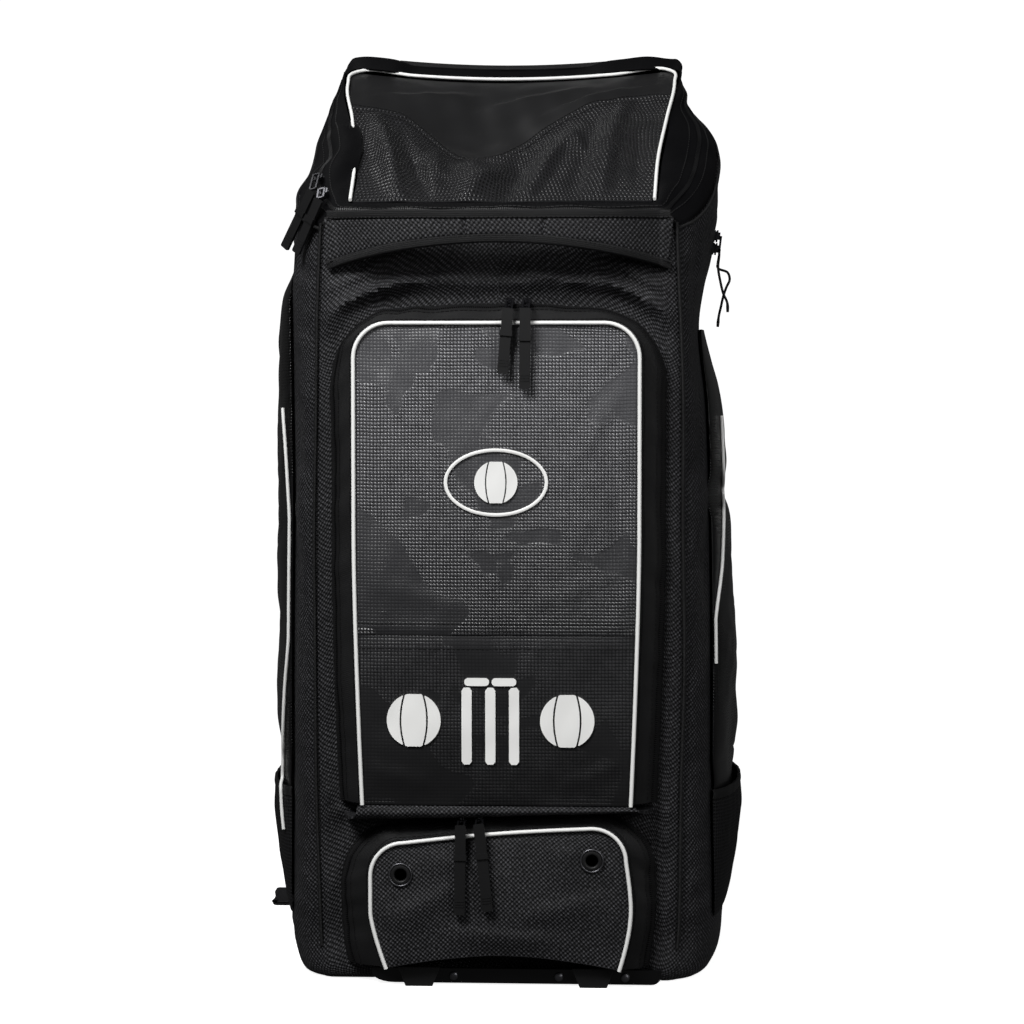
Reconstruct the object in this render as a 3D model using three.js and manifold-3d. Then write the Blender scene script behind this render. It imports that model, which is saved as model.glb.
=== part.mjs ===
// Cricket kit bag: a tall soft-sided bag standing on its plastic base tray.
// Millimetres, +Z up, the front faces -Y, the origin lies on the floor below the middle of the bag.

import * as THREE from 'three';
import Module from 'manifold-3d';
import { mergeVertices } from 'three/addons/utils/BufferGeometryUtils.js';

const wasm = await Module();
wasm.setup();

// Driving dimensions of the body
const BAG_HEIGHT = 858; // floor to the top of the back rim
const BODY_HALF = 203; // middle plane to the widest part of the woven side
const PANEL_HALF = 165; // middle plane to the front corner seam
const FRONT_DEPTH = 150; // middle plane to the front panel
const BACK_DEPTH = 150; // middle plane to the back panel
const BODY_LIFT = 5; // floor to the underside of the body
const FLOOR_ROUNDING = 12; // radius between the floor of the body and its front and back
const WALL_FRONT_TOP = 676; // floor to the top of the front panel
const WALL_BACK_TOP = 842; // floor to the top of the back panel
const CLOTH = 2.4; // woven cloth with its lining
const SEAM_GAP = 0.3; // clearance between pieces that are sewn together

// Driving dimensions of the lid
const LID_FRONT_RISE = 700; // floor to the lid's front edge
const LID_BACK_RISE = 845; // floor to the lid's back edge
const LID_FRONT_REACH = 138; // middle plane to the lid's front edge
const LID_BACK_REACH = 110; // middle plane to the lid's back edge
const LID_FRONT_HALF = 137;
const LID_BACK_HALF = 160;
const LID_SHEET = 2;
const LID_SAG = 28; // depth of the main dent in the lid
const LID_SEAM_SHARE = 0.7; // where the seam between the two lid panels meets the sides
const LID_SEAM_DIP = 0.16; // how far forward the seam runs in the middle
const RIM_SAG = 11; // how far the back rim hangs in the middle
const RIM_ROLL = 28; // how far the gusset rolls up above the lid at the back
const GUSSET_STAND = 4; // straight stretch of the top gusset above its seam
const LID_EDGE = 4.2; // how far the gusset keeps off the lid's outline
const LOOP_LEFT = 0.7; // ends of the grab loop, as shares of the back rim's half
const LOOP_RIGHT = 0.6;
const LOOP_SET = 6; // lid's back edge to the grab loop
const LOOP_WIDTH = 14;
const LOOP_CROWN = 3.2;

// Driving dimensions of the trim
const PIPING_RADIUS = 1.8;
const CORNER_PIPING_RADIUS = 1.6;
const PIPING_SIDES = 6;

// Driving dimensions of the haul handle
const HANDLE_HALF = 153; // middle plane to the sewn ends
const HANDLE_TOP = 693; // floor to the top edge at the ends
const HANDLE_END_WIDTH = 53; // height of the band at its ends
const HANDLE_MIDDLE_WIDTH = 29; // height of the band in the middle
const HANDLE_BOW = 33; // how far the middle stands off the front panel
const HANDLE_LOOSE = 0.9; // share of the band that stands off the panel
const HANDLE_PADDING = 7;
const HANDLE_BINDING = 8; // height of the bound edges

// Driving dimensions of the front pocket
const POCKET_BOTTOM = 165;
const POCKET_SEAM_TOP = 610;
const POCKET_FACE_TOP = 594;
const POCKET_SEAM_HALF = 150;
const POCKET_FACE_HALF = 128;
const POCKET_TAPER = 7; // how much narrower each side is at the bottom
const POCKET_SEAM_ROUNDING = 66;
const POCKET_FACE_ROUNDING = 31;
const POCKET_REACH = 34; // front panel to the edge of the pocket's face
const POCKET_CROWN = 4; // how far the face bulges
const POCKET_STAND = 2.5; // stretch of a pocket's gusset that stands square to its seams
const POCKET_SPLIT = 316; // floor to the seam between the two faces

// Driving dimensions of the shoe pocket
const SHOE_BOTTOM = 18;
const SHOE_BOTTOM_ARCH = 13; // how far the bottom edge rises in the middle
const SHOE_SEAM_LEFT_TOP = 144;
const SHOE_SEAM_RIGHT_TOP = 153;
const SHOE_FACE_LEFT_TOP = 133;
const SHOE_FACE_RIGHT_TOP = 147;
const SHOE_SEAM_HALF = 142;
const SHOE_FACE_HALF = 117;
const SHOE_TAPER = 6;
const SHOE_SEAM_ROUNDING = 52;
const SHOE_FACE_ROUNDING = 30;
const SHOE_REACH = 34;
const SHOE_CROWN = 7;
const EYELET_OUTER = 10.5;
const EYELET_HOLE = 5.5;
const EYELET_RIM = 2.2;
const EYELET_SEAT = 0.9; // clearance between a ring and the curved face behind it

// Driving dimensions of the side and bottle pockets
const SIDE_POCKET_BOTTOM = 180;
const SIDE_POCKET_LEFT_TOP = 652;
const SIDE_POCKET_RIGHT_TOP = 588;
const SIDE_POCKET_FRONT = 104; // middle plane forwards to the pocket's front edge
const SIDE_POCKET_BACK = 116;
const SIDE_BULGE = 25;
const BOTTLE_BOTTOM = 52;
const BOTTLE_TOP = 168;
const BOTTLE_BULGE = 22;
const BOTTLE_BINDING = 9;
const MESH_CLOTH = 1.6;
const SIDE_SEAT = 0.8; // clearance between the side wall and what is sewn on it

// Driving dimensions of the base
const TRAY_HALF = 130;
const TRAY_CENTRE = 17;
const TRAY_FRONT = 170;
const TRAY_BACK = 142;
const TRAY_PLATE = 2.8;
const TRAY_LIFT = 1.9;
const TRAY_LIP_HEIGHT = 15;
const TRAY_LIP = 4;
const FOOT_TOP_WIDTH = 38;
const FOOT_BOTTOM_WIDTH = 24;
const FOOT_FRONT = 6; // thickness of a foot in front of the tray's lip
const FOOT_CENTRE = 8; // middle of the bag to halfway between the feet
const FOOT_SPREAD = 78; // from there to the middle of a foot
const RIVET_RADIUS = 4.2;
const RIVET_RISE = 2.4;

// Driving dimensions of the zip pulls
const SLIDER_SEAT = 0.6; // clearance between a slider and the cloth below it
const PULL_WIDTH = 9.6;
const PULL_THICKNESS = 2.6;
const SLIDER_WIDTH = 8.4;
const SLIDER_HEIGHT = 4;
const SLIDER_UP = 5; // reach of a slider above its middle
const SLIDER_DOWN = 6; // and below it
const BRIDGE_RISE = 2; // how far the bridge stands above the slider
const LINK_THICKNESS = 1.8;
const SIDE_LINK = 14; // length of the side sliders' links
const KEEPER_DEPTH = 3;
const KEEPER_DROP = 26; // top of a rubber pull to its keeper
const KEEPER_HEIGHT = 5;
const CORD_RADIUS = 1.2;
const CORD_SIDES = 8;

// Driving dimensions of the back
const STRAP_WIDTH = 62;
const STRAP_PADDING = 12;
const STRAP_TOP = 775;
const STRAP_BOTTOM = 300;
const STRAP_SPREAD = 56; // middle plane to the middle of a strap at its top
const STRAP_OUT = 44; // how far a strap runs outwards on its way down
const STRAP_BOW = 35; // how far a strap stands off the back panel
const WEBBING_WIDTH = 25;
const WEBBING = 2;
const WEBBING_FOOT_HALF = 168; // middle plane to the webbing's sewn lower end
const WEBBING_FOOT_RISE = 45; // floor to the webbing's sewn lower end
const TAB_OUT = 23; // how far the webbing tab stands out of the side
const TAB_RISE = 45; // floor to the middle of the tab
const TAB_HEIGHT = 11;
const TAB_FRONT = -10; // middle plane to the tab's front edge

// Driving dimensions of the raised shapes on the front
const MOTIF_RAISE = 2;
const STUMP_HEIGHT = 78;
const STUMP_WIDTH = 9;
const STUMP_PITCH = 21;
const BAIL_HEIGHT = 7;
const MOTIF_CENTRE = -5; // middle plane to the middle of the stumps
const MOTIF_RISE = 202; // floor to the foot of the stumps
const BALL_SPREAD = 68; // middle of the stumps to the middle of a ball
const BALL_RADIUS = 24;
const BADGE_RISE = 452; // floor to the middle of the oval
const BADGE_WIDTH = 92;
const BADGE_HEIGHT = 60;
const BADGE_RIM = 3;

// Widths of the body from the floor up, as shares of BAG_HEIGHT, BODY_HALF and PANEL_HALF
const BODY_ROWS = [
  { up: 0.000, left: 0.945, right: 0.970, panel: 0.950 },
  { up: 0.014, left: 0.975, right: 1.000, panel: 0.955 },
  { up: 0.031, left: 0.995, right: 1.010, panel: 0.965 },
  { up: 0.061, left: 1.000, right: 1.010, panel: 0.975 },
  { up: 0.200, left: 0.990, right: 0.990, panel: 0.990 },
  { up: 0.350, left: 0.985, right: 0.985, panel: 1.000 },
  { up: 0.506, left: 0.975, right: 0.970, panel: 0.995 },
  { up: 0.600, left: 0.980, right: 0.945, panel: 0.990 },
  { up: 0.690, left: 0.985, right: 0.893, panel: 0.980 },
  { up: 0.735, left: 0.990, right: 0.918, panel: 0.970 },
  { up: 0.760, left: 0.985, right: 0.945, panel: 0.965 },
  { up: 0.787, left: 0.975, right: 0.965, panel: 0.958 },
  { up: 0.824, left: 0.955, right: 0.980, panel: 0.950 },
  { up: 0.857, left: 0.940, right: 0.980, panel: 0.950 },
  { up: 0.887, left: 0.925, right: 0.960, panel: 0.950 },
  { up: 0.909, left: 0.895, right: 0.920, panel: 0.950 },
  { up: 0.932, left: 0.865, right: 0.870, panel: 0.945 },
  { up: 0.952, left: 0.835, right: 0.825, panel: 0.940 },
  { up: 0.985, left: 0.830, right: 0.820, panel: 0.935 },
];

// Half of the body's plan, from the middle of the front round to the middle of the back.
// panel and side are shares of the front panel's half and of the way from it to the widest part,
// depth is a share of the depth, mouth and slope place the same column at the lid's edge.
const PLAN = [
  { panel: 0.00, side: 0.00, depth: -1.00, mouth: 0.00, slope: 0.00, roll: 0.0 },
  { panel: 0.33, side: 0.00, depth: -1.00, mouth: 0.34, slope: 0.00, roll: 0.0 },
  { panel: 0.66, side: 0.00, depth: -1.00, mouth: 0.68, slope: 0.00, roll: 0.0 },
  { panel: 0.94, side: 0.00, depth: -1.00, mouth: 0.97, slope: 0.00, roll: 0.0 },
  { panel: 1.00, side: 0.00, depth: -0.98, mouth: 1.00, slope: 0.03, roll: 0.0 },
  { panel: 1.00, side: 0.35, depth: -0.90, mouth: 1.00, slope: 0.12, roll: 0.0 },
  { panel: 1.00, side: 0.68, depth: -0.72, mouth: 1.00, slope: 0.22, roll: 0.0 },
  { panel: 1.00, side: 0.88, depth: -0.42, mouth: 1.00, slope: 0.36, roll: 0.0 },
  { panel: 1.00, side: 0.97, depth: -0.08, mouth: 1.00, slope: 0.52, roll: 0.1 },
  { panel: 1.00, side: 1.00, depth: 0.25, mouth: 1.00, slope: 0.68, roll: 0.2 },
  { panel: 1.00, side: 0.98, depth: 0.55, mouth: 1.00, slope: 0.83, roll: 0.4 },
  { panel: 1.00, side: 0.85, depth: 0.80, mouth: 1.00, slope: 0.96, roll: 0.7 },
  { panel: 1.00, side: 0.45, depth: 0.95, mouth: 0.96, slope: 1.00, roll: 1.0 },
  { panel: 0.78, side: 0.00, depth: 1.00, mouth: 0.76, slope: 1.00, roll: 1.0 },
  { panel: 0.40, side: 0.00, depth: 1.00, mouth: 0.40, slope: 1.00, roll: 1.0 },
  { panel: 0.00, side: 0.00, depth: 1.00, mouth: 0.00, slope: 1.00, roll: 1.0 },
];

// Heights of the body's rings, as shares of the wall of each column
const WALL_RINGS = [0, 0.008, 0.022, 0.06, 0.2, 0.36, 0.52, 0.64, 0.72, 0.79, 0.86, 0.93, 1];

// Dents and folds of the lid: place and size as shares of its half-width and slope, rise of LID_SAG
const LID_FOLDS = [
  { across: -0.20, along: 0.60, wide: 0.55, long: 0.34, rise: -1.00 },
  { across: -0.72, along: 0.34, wide: 0.13, long: 0.34, rise: 0.30 },
  { across: -0.26, along: 0.24, wide: 0.13, long: 0.22, rise: 0.26 },
  { across: 0.10, along: 0.30, wide: 0.12, long: 0.26, rise: -0.22 },
  { across: 0.56, along: 0.38, wide: 0.15, long: 0.36, rise: 0.34 },
];

// Fullness of the side pockets from their bottom up, as shares of SIDE_BULGE
const SIDE_ROWS = [
  { up: 0.00, left: 0.00, right: 0.00 },
  { up: 0.04, left: 0.42, right: 0.42 },
  { up: 0.12, left: 0.62, right: 0.54 },
  { up: 0.25, left: 0.66, right: 0.60 },
  { up: 0.45, left: 0.68, right: 0.48 },
  { up: 0.65, left: 0.66, right: 0.37 },
  { up: 0.85, left: 0.50, right: 0.31 },
  { up: 0.96, left: 0.36, right: 0.18 },
  { up: 1.00, left: 0.06, right: 0.06 },
];

// Shoulder strap from its top down: shares of its run, of STRAP_BOW and of STRAP_SPREAD outwards
const STRAP_ROWS = [
  { down: 0.00, bow: 0.00, out: 0.00, width: 1.00 },
  { down: 0.10, bow: 0.32, out: 0.08, width: 1.00 },
  { down: 0.28, bow: 0.82, out: 0.28, width: 1.00 },
  { down: 0.46, bow: 1.00, out: 0.50, width: 0.97 },
  { down: 0.64, bow: 0.94, out: 0.70, width: 0.92 },
  { down: 0.84, bow: 0.52, out: 0.88, width: 0.84 },
  { down: 1.00, bow: 0.00, out: 1.00, width: 0.70 },
];

// Pulls of the two arched pockets: the slider's place across, the pull's length and its swing aside
const FRONT_PULLS = [
  { name: 'left', x: 11, length: 58, swing: -5 },
  { name: 'right', x: 26, length: 71, swing: -0.5 },
];
const SHOE_PULLS = [
  { name: 'left', x: -31, length: 80, swing: -1 },
  { name: 'right', x: -15, length: 78, swing: 8 },
];
const TOP_PULLS = [
  { name: 'upper', row: 6, top: [-3, -34, -12], end: [-27, 18, -50] },
  { name: 'lower', row: 5, top: [-2, -21.5, -5.5], end: [-23, 14, -47] },
];

// Side sliders, each its drop below the wall's top, and each cord's route as x and z from the link's end
const SIDE_CORDS = [
  {
    name: 'upper', forward: 46, drop: 58.3,
    route: [[-1, -14], [1, -27], [4, -39], [7.5, -47], [8, -56]],
  },
  {
    name: 'lower', forward: 34, drop: 76.1,
    route: [[10, -8], [11.5, -14], [8.5, -21], [5.5, -30], [3.5, -39], [1.5, -48], [0.5, -58]],
  },
];

const cloth = { color: 0x1b1b1c, roughness: 0.82 };
const finishes = {
  woven: new THREE.MeshStandardMaterial(cloth),
  smooth: new THREE.MeshStandardMaterial({ color: 0x121213, roughness: 0.75 }),
  vinyl: new THREE.MeshStandardMaterial({ color: 0x2a2a2b, roughness: 0.5 }),
  mesh: new THREE.MeshStandardMaterial({ color: 0x171718, roughness: 0.85 }),
  white: new THREE.MeshStandardMaterial({ color: 0xf2f2f0, roughness: 0.4 }),
  plastic: new THREE.MeshStandardMaterial({ color: 0x0e0e0f, roughness: 0.3 }),
  rubber: new THREE.MeshStandardMaterial({ color: 0x161617, roughness: 0.6 }),
  metal: new THREE.MeshStandardMaterial({ color: 0x232325, roughness: 0.35, metalness: 0.9 }),
  bright: new THREE.MeshStandardMaterial({ color: 0xb9babd, roughness: 0.3, metalness: 1 }),
};

const bag = new THREE.Group();
const { lerp, clamp } = THREE.MathUtils;
const point = (x, y, z) => new THREE.Vector3(x, y, z);

function piece(name, geometry, finish) {
  const mesh = new THREE.Mesh(geometry, finish);
  mesh.name = name;
  bag.add(mesh);
  return mesh;
}

// Value of a named column of a table at a place along another, in straight steps
function read(table, key, column, place) {
  const next = table.findIndex((row) => row[key] > place);
  if (next === 0) return table[0][column];
  if (next < 0) return table[table.length - 1][column];
  const [a, b] = [table[next - 1], table[next]];
  return lerp(a[column], b[column], (place - a[key]) / (b[key] - a[key]));
}

const sideName = (side) => (side < 0 ? 'left' : 'right');
const steps = (count) => Array.from({ length: count + 1 }, (_, i) => i / count);

// A wall of even thickness behind a grid of points.
// Seen from outside, rows of the grid run upwards and columns run to the right.
function wall(grid, thickness, { wrap = false, floor = false } = {}) {
  const rows = grid.length;
  const columns = grid[0].length;
  const beside = (j) => (wrap ? (j + columns) % columns : clamp(j, 0, columns - 1));
  const inner = grid.map((row, i) => row.map((place, j) => {
    const across = row[beside(j + 1)].clone().sub(row[beside(j - 1)]);
    const up = grid[Math.min(i + 1, rows - 1)][j].clone().sub(grid[Math.max(i - 1, 0)][j]);
    return place.clone().addScaledVector(across.cross(up).normalize(), -thickness);
  }));
  const points = [...grid.flat(), ...inner.flat()];
  const back = rows * columns;
  const faces = [];
  const quad = (a, b, c, d) => faces.push(a, b, c, a, c, d);
  const at = (i, j) => i * columns + (j % columns);
  const last = wrap ? columns : columns - 1;
  for (let j = 0; j < last; j += 1) {
    for (let i = 0; i < rows - 1; i += 1) {
      quad(at(i, j), at(i, j + 1), at(i + 1, j + 1), at(i + 1, j));
      quad(back + at(i, j), back + at(i + 1, j), back + at(i + 1, j + 1), back + at(i, j + 1));
    }
    const top = rows - 1;
    quad(at(top, j), at(top, j + 1), back + at(top, j + 1), back + at(top, j));
    if (!floor) quad(at(0, j), back + at(0, j), back + at(0, j + 1), at(0, j + 1));
  }
  if (floor) closeFloor(points, faces, columns, back);
  for (let i = 0; i < rows - 1 && !wrap; i += 1) {
    quad(back + at(i, 0), at(i, 0), at(i + 1, 0), back + at(i + 1, 0));
    quad(at(i, last), back + at(i, last), back + at(i + 1, last), at(i + 1, last));
  }
  return indexed(points, faces);
}

// Fans that close the first ring of both skins of a wall
function closeFloor(points, faces, columns, back) {
  for (const [start, outside] of [[0, true], [back, false]]) {
    const ring = points.slice(start, start + columns);
    const centre = ring.reduce((sum, place) => sum.add(place), point(0, 0, 0)).divideScalar(columns);
    const middle = points.push(centre) - 1;
    for (let j = 0; j < columns; j += 1) {
      const [a, b] = [start + j, start + (j + 1) % columns];
      faces.push(...(outside ? [b, a, middle] : [a, b, middle]));
    }
  }
}

function indexed(points, faces) {
  const geometry = new THREE.BufferGeometry().setFromPoints(points);
  geometry.setIndex(faces);
  geometry.computeVertexNormals();
  return geometry;
}

// A round rod along a smooth open path
function rod(path, radius, sides, count) {
  const section = new THREE.Shape();
  section.absarc(0, 0, radius, 0, Math.PI * 2);
  const extrudePath = new THREE.CatmullRomCurve3(path);
  const options = { steps: count, curveSegments: sides / 2, extrudePath };
  return new THREE.ExtrudeGeometry(section, options);
}

function block(x0, x1, y0, y1, z0, z1) {
  const box = new THREE.BoxGeometry(x1 - x0, y1 - y0, z1 - z0);
  return box.translate((x0 + x1) / 2, (y0 + y1) / 2, (z0 + z1) / 2);
}

function toSolid(geometry) {
  const bare = geometry.clone();
  bare.deleteAttribute('normal');
  bare.deleteAttribute('uv');
  const merged = mergeVertices(bare, 1e-4);
  const vertProperties = new Float32Array(merged.attributes.position.array);
  const triVerts = new Uint32Array(merged.index.array);
  return new wasm.Manifold(new wasm.Mesh({ numProp: 3, vertProperties, triVerts }));
}

function fromSolid(solid) {
  const mesh = solid.getMesh();
  const geometry = new THREE.BufferGeometry();
  geometry.setAttribute('position', new THREE.BufferAttribute(mesh.vertProperties, mesh.numProp));
  geometry.setIndex(new THREE.BufferAttribute(mesh.triVerts, 1));
  geometry.computeVertexNormals();
  return geometry;
}

const fuse = (...parts) => fromSolid(parts.map(toSolid).reduce((a, b) => a.add(b)));
const cut = (whole, ...parts) => (
  fromSolid(parts.map(toSolid).reduce((a, b) => a.subtract(b), toSolid(whole)))
);

// Shape of the body

const depthOf = (share) => share * (share < 0 ? FRONT_DEPTH : BACK_DEPTH);
const panelHalf = (z) => PANEL_HALF * read(BODY_ROWS, 'up', 'panel', z / BAG_HEIGHT);
const bodyHalf = (side, z) => BODY_HALF * read(BODY_ROWS, 'up', sideName(side), z / BAG_HEIGHT);

// How far the front and back are drawn in where they round into the floor
function floorInset(z) {
  const below = clamp(BODY_LIFT + FLOOR_ROUNDING - z, 0, FLOOR_ROUNDING);
  return FLOOR_ROUNDING - Math.sqrt(FLOOR_ROUNDING ** 2 - below ** 2);
}

function bodyPoint(row, side, z) {
  const seam = panelHalf(z);
  const x = seam * row.panel + (bodyHalf(side, z) - seam) * row.side;
  const y = depthOf(row.depth) - Math.sign(row.depth) * Math.min(floorInset(z), Math.abs(depthOf(row.depth)));
  return point(side * x, y, z);
}

function wallTop(row) {
  const back = (row.depth + 1) / 2;
  const sag = RIM_SAG * back ** 2 * (1 - row.mouth ** 2);
  return lerp(WALL_FRONT_TOP, WALL_BACK_TOP, back) - sag;
}

// x of the side wall at a depth and a height, straight between the body's columns and rings
function sideWall(side, y, z) {
  const depth = y / (y < 0 ? FRONT_DEPTH : BACK_DEPTH);
  const rows = PLAN.filter((row) => row.panel === 1);
  const top = read(rows.map((row) => ({ depth: row.depth, top: wallTop(row) })), 'depth', 'top', depth);
  const up = (z - BODY_LIFT) / (top - BODY_LIFT);
  const columns = rows.map((row) => {
    const at = (share) => Math.abs(bodyPoint(row, side, lerp(BODY_LIFT, wallTop(row), share)).x);
    const rings = WALL_RINGS.map((share) => ({ share, x: at(share) }));
    return { depth: row.depth, x: read(rings, 'share', 'x', up) };
  });
  return read(columns, 'depth', 'x', depth);
}

// The plan's columns all the way round, from the middle of the front to the right
const AROUND = [
  ...PLAN.map((row) => ({ row, side: 1 })),
  ...PLAN.slice(1, -1).reverse().map((row) => ({ row, side: -1 })),
];

// A place on the lid's plane, across from -1 to 1 and along from 0 at the front to 1 at the back
function lidPlane(across, along) {
  const sag = RIM_SAG * along ** 2 * (1 - across ** 2);
  return point(
    across * lerp(LID_FRONT_HALF, LID_BACK_HALF, along),
    lerp(-LID_FRONT_REACH, LID_BACK_REACH, along),
    lerp(LID_FRONT_RISE, LID_BACK_RISE, along) - sag,
  );
}

function lidPoint(across, along) {
  const place = lidPlane(across, along);
  const hold = (1 - across ** 4) * Math.sqrt(Math.max(Math.sin(Math.PI * along), 0));
  for (const fold of LID_FOLDS) {
    const far = ((across - fold.across) / fold.wide) ** 2 + ((along - fold.along) / fold.long) ** 2;
    place.z += LID_SAG * fold.rise * Math.exp(-far) * hold;
  }
  return place;
}

const lidSeam = (across) => LID_SEAM_SHARE - LID_SEAM_DIP * (1 - across ** 2) ** 1.5;

// A place on the top gusset, from the end of its upright stretch (0) to the lid's edge (1)
function gussetPoint(row, side, share) {
  const start = bodyPoint(row, side, wallTop(row)).add(point(0, 0, 2 * SEAM_GAP + GUSSET_STAND));
  const mouth = lidPlane(side * row.mouth, row.slope);
  const reach = Math.hypot(mouth.x, mouth.y);
  mouth.multiply(point(1 + LID_EDGE / reach, 1 + LID_EDGE / reach, 1));
  const bend = start.clone().lerp(mouth, 0.25);
  bend.z = lerp(start.z, mouth.z, 0.85) + RIM_ROLL * row.roll;
  return new THREE.QuadraticBezierCurve3(start, bend, mouth).getPoint(share);
}

function buildBody() {
  const rings = WALL_RINGS.map((share) => AROUND.map(({ row, side }) => (
    bodyPoint(row, side, lerp(BODY_LIFT, wallTop(row), share))
  )));
  piece('body_shell', wall(rings, CLOTH, { wrap: true, floor: true }), finishes.woven);

  const band = steps(4).map((share) => AROUND.map(({ row, side }) => gussetPoint(row, side, share)));
  const foot = band[0].map((place) => place.clone().sub(point(0, 0, GUSSET_STAND)));
  piece('top_gusset', wall([foot, ...band], CLOTH, { wrap: true }), finishes.smooth);
}

function buildLid() {
  const inset = 1 - (PIPING_RADIUS + SEAM_GAP) / LID_FRONT_HALF;
  const acrossSteps = steps(16).map((share) => inset * (2 * share - 1));
  const split = SEAM_GAP / (LID_BACK_REACH + LID_FRONT_REACH);
  const frontEdge = 0.01;
  const backEdge = 0.99;
  const lower = steps(7).map((share) => acrossSteps.map((across) => (
    lidPoint(across, lerp(frontEdge, lidSeam(across) - split, share))
  )));
  const upper = steps(5).map((share) => acrossSteps.map((across) => (
    lidPoint(across, lerp(lidSeam(across) + split, backEdge, share))
  )));
  piece('lid_lower', wall(lower, LID_SHEET), finishes.vinyl);
  piece('lid_upper', wall(upper, LID_SHEET), finishes.smooth);

  const raise = PIPING_RADIUS + SEAM_GAP;
  const route = [
    [-1, 0.01], [-1, 0.3], [-1, 0.6], [-1, 0.88], [-0.985, 0.96], [-0.93, 0.995], [-0.6, 1], [-0.2, 1],
    [0.2, 1], [0.6, 1], [0.93, 0.995], [0.985, 0.96], [1, 0.88], [1, 0.6], [1, 0.3], [1, 0.01],
  ];
  const path = route.map(([across, along]) => lidPlane(across, along).add(point(0, -raise / 2, raise)));
  piece('lid_piping', rod(path, PIPING_RADIUS, PIPING_SIDES, 46), finishes.white);
}

// Flat webbing that lies along the back rim
function buildGrabLoop() {
  const rows = steps(3).map((down) => steps(14).map((share) => {
    const rim = lidPlane(lerp(-LOOP_LEFT, LOOP_RIGHT, share), 1);
    const lift = RIM_ROLL / 2 + LOOP_CROWN * Math.sin(Math.PI * down);
    return rim.add(point(0, LOOP_SET + down * LOOP_WIDTH, lift));
  }));
  piece('grab_loop', wall(rows, WEBBING), finishes.woven);
}

// Haul handle: a padded band across the front with a bound upper and lower edge
function handleEdge(share) {
  const middle = 1 - share ** 2;
  const top = HANDLE_TOP - 1.5 * middle;
  const width = lerp(HANDLE_END_WIDTH, HANDLE_MIDDLE_WIDTH, middle);
  return { top, bottom: top - width };
}

function handleBand(from, to, padding, proud) {
  return wall(steps(2).map((up) => steps(18).map((along) => {
    const share = 2 * along - 1;
    const edge = handleEdge(share);
    const low = from(edge);
    const high = to(edge);
    const bow = HANDLE_BOW * Math.max(1 - (share / HANDLE_LOOSE) ** 4, 0);
    const round = Math.sin(Math.PI * up) * 1.2;
    const y = -(FRONT_DEPTH + SEAM_GAP + padding + bow + proud + round);
    return point(share * HANDLE_HALF, y, lerp(low, high, up));
  })), padding);
}

function buildHandle() {
  const gap = SEAM_GAP / 2;
  const lower = (edge) => edge.bottom + HANDLE_BINDING;
  const upper = (edge) => edge.top - HANDLE_BINDING;
  const core = handleBand((e) => lower(e) + gap, (e) => upper(e) - gap, HANDLE_PADDING, 0);
  const over = handleBand((e) => upper(e) + gap, (e) => e.top, HANDLE_PADDING, 0.8);
  const under = handleBand((e) => e.bottom, (e) => lower(e) - gap, HANDLE_PADDING, 0.8);
  piece('haul_handle', core, finishes.woven);
  piece('handle_binding_upper', over, finishes.smooth);
  piece('handle_binding_lower', under, finishes.smooth);
}

// Black self piping down the two front corners
function buildCornerPiping(side) {
  const seat = CORNER_PIPING_RADIUS + SEAM_GAP + 0.5;
  const path = steps(9).map((share) => {
    const z = lerp(SHOE_BOTTOM + 12, WALL_FRONT_TOP + 6, share);
    const corner = bodyPoint(PLAN[4], side, z);
    return corner.add(point(side * seat * 0.5, -seat * 0.86, 0));
  });
  const piping = rod(path, CORNER_PIPING_RADIUS, PIPING_SIDES, 14);
  piece(`corner_piping_${sideName(side)}`, piping, finishes.smooth);
}

// Outline of an arched pocket, anticlockwise seen from the front, from the bottom left.
// The last points are the arched bottom edge from right to left, without its two ends.
function archSides(pocket, levels) {
  const side = (sign, top) => {
    const start = top - pocket.rounding;
    const reach = (z) => {
      const share = clamp((z - pocket.bottom) / (0.6 * (start - pocket.bottom)), 0, 1);
      return pocket.half - pocket.taper * (1 - share) ** 1.5;
    };
    const straight = levels.map((share) => {
      const z = lerp(pocket.bottom, start, share);
      return [sign * reach(z), z];
    });
    const arc = steps(5).slice(1).map((share) => {
      const angle = share * Math.PI / 2;
      const x = pocket.half - pocket.rounding * (1 - Math.cos(angle));
      return [sign * x, start + pocket.rounding * Math.sin(angle)];
    });
    return [...straight, ...arc];
  };
  return { left: side(-1, pocket.leftTop), right: side(1, pocket.rightTop) };
}

function archLoop(pocket, levels, y) {
  const { left, right } = archSides(pocket, levels);
  const across = (from, to, count, rise) => steps(count).slice(1, -1).map((share) => (
    [lerp(from[0], to[0], share), lerp(from[1], to[1], share) + rise * Math.sin(Math.PI * share)]
  ));
  const top = across(right.at(-1), left.at(-1), 6, pocket.topArch);
  const bottom = across(left[0], right[0], 8, pocket.bottomArch);
  const loop = [...left.slice().reverse(), ...bottom, ...right, ...top];
  return loop.map(([x, z]) => point(x, y, z));
}

// How full a pocket's face is at a place, flat under its piping
function crownShare(pocket, across, z) {
  const rim = 2 * PIPING_RADIUS;
  const top = lerp(pocket.leftTop, pocket.rightTop, across) - rim;
  const inside = (across - rim / (2 * pocket.half)) / (1 - rim / pocket.half);
  const full = Math.sin(Math.PI * clamp(inside, 0, 1));
  const tall = Math.sin(Math.PI * clamp((z - pocket.bottom) / (top - pocket.bottom), 0, 1));
  return (Math.max(full, 0) * Math.max(tall, 0)) ** 0.6;
}

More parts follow.
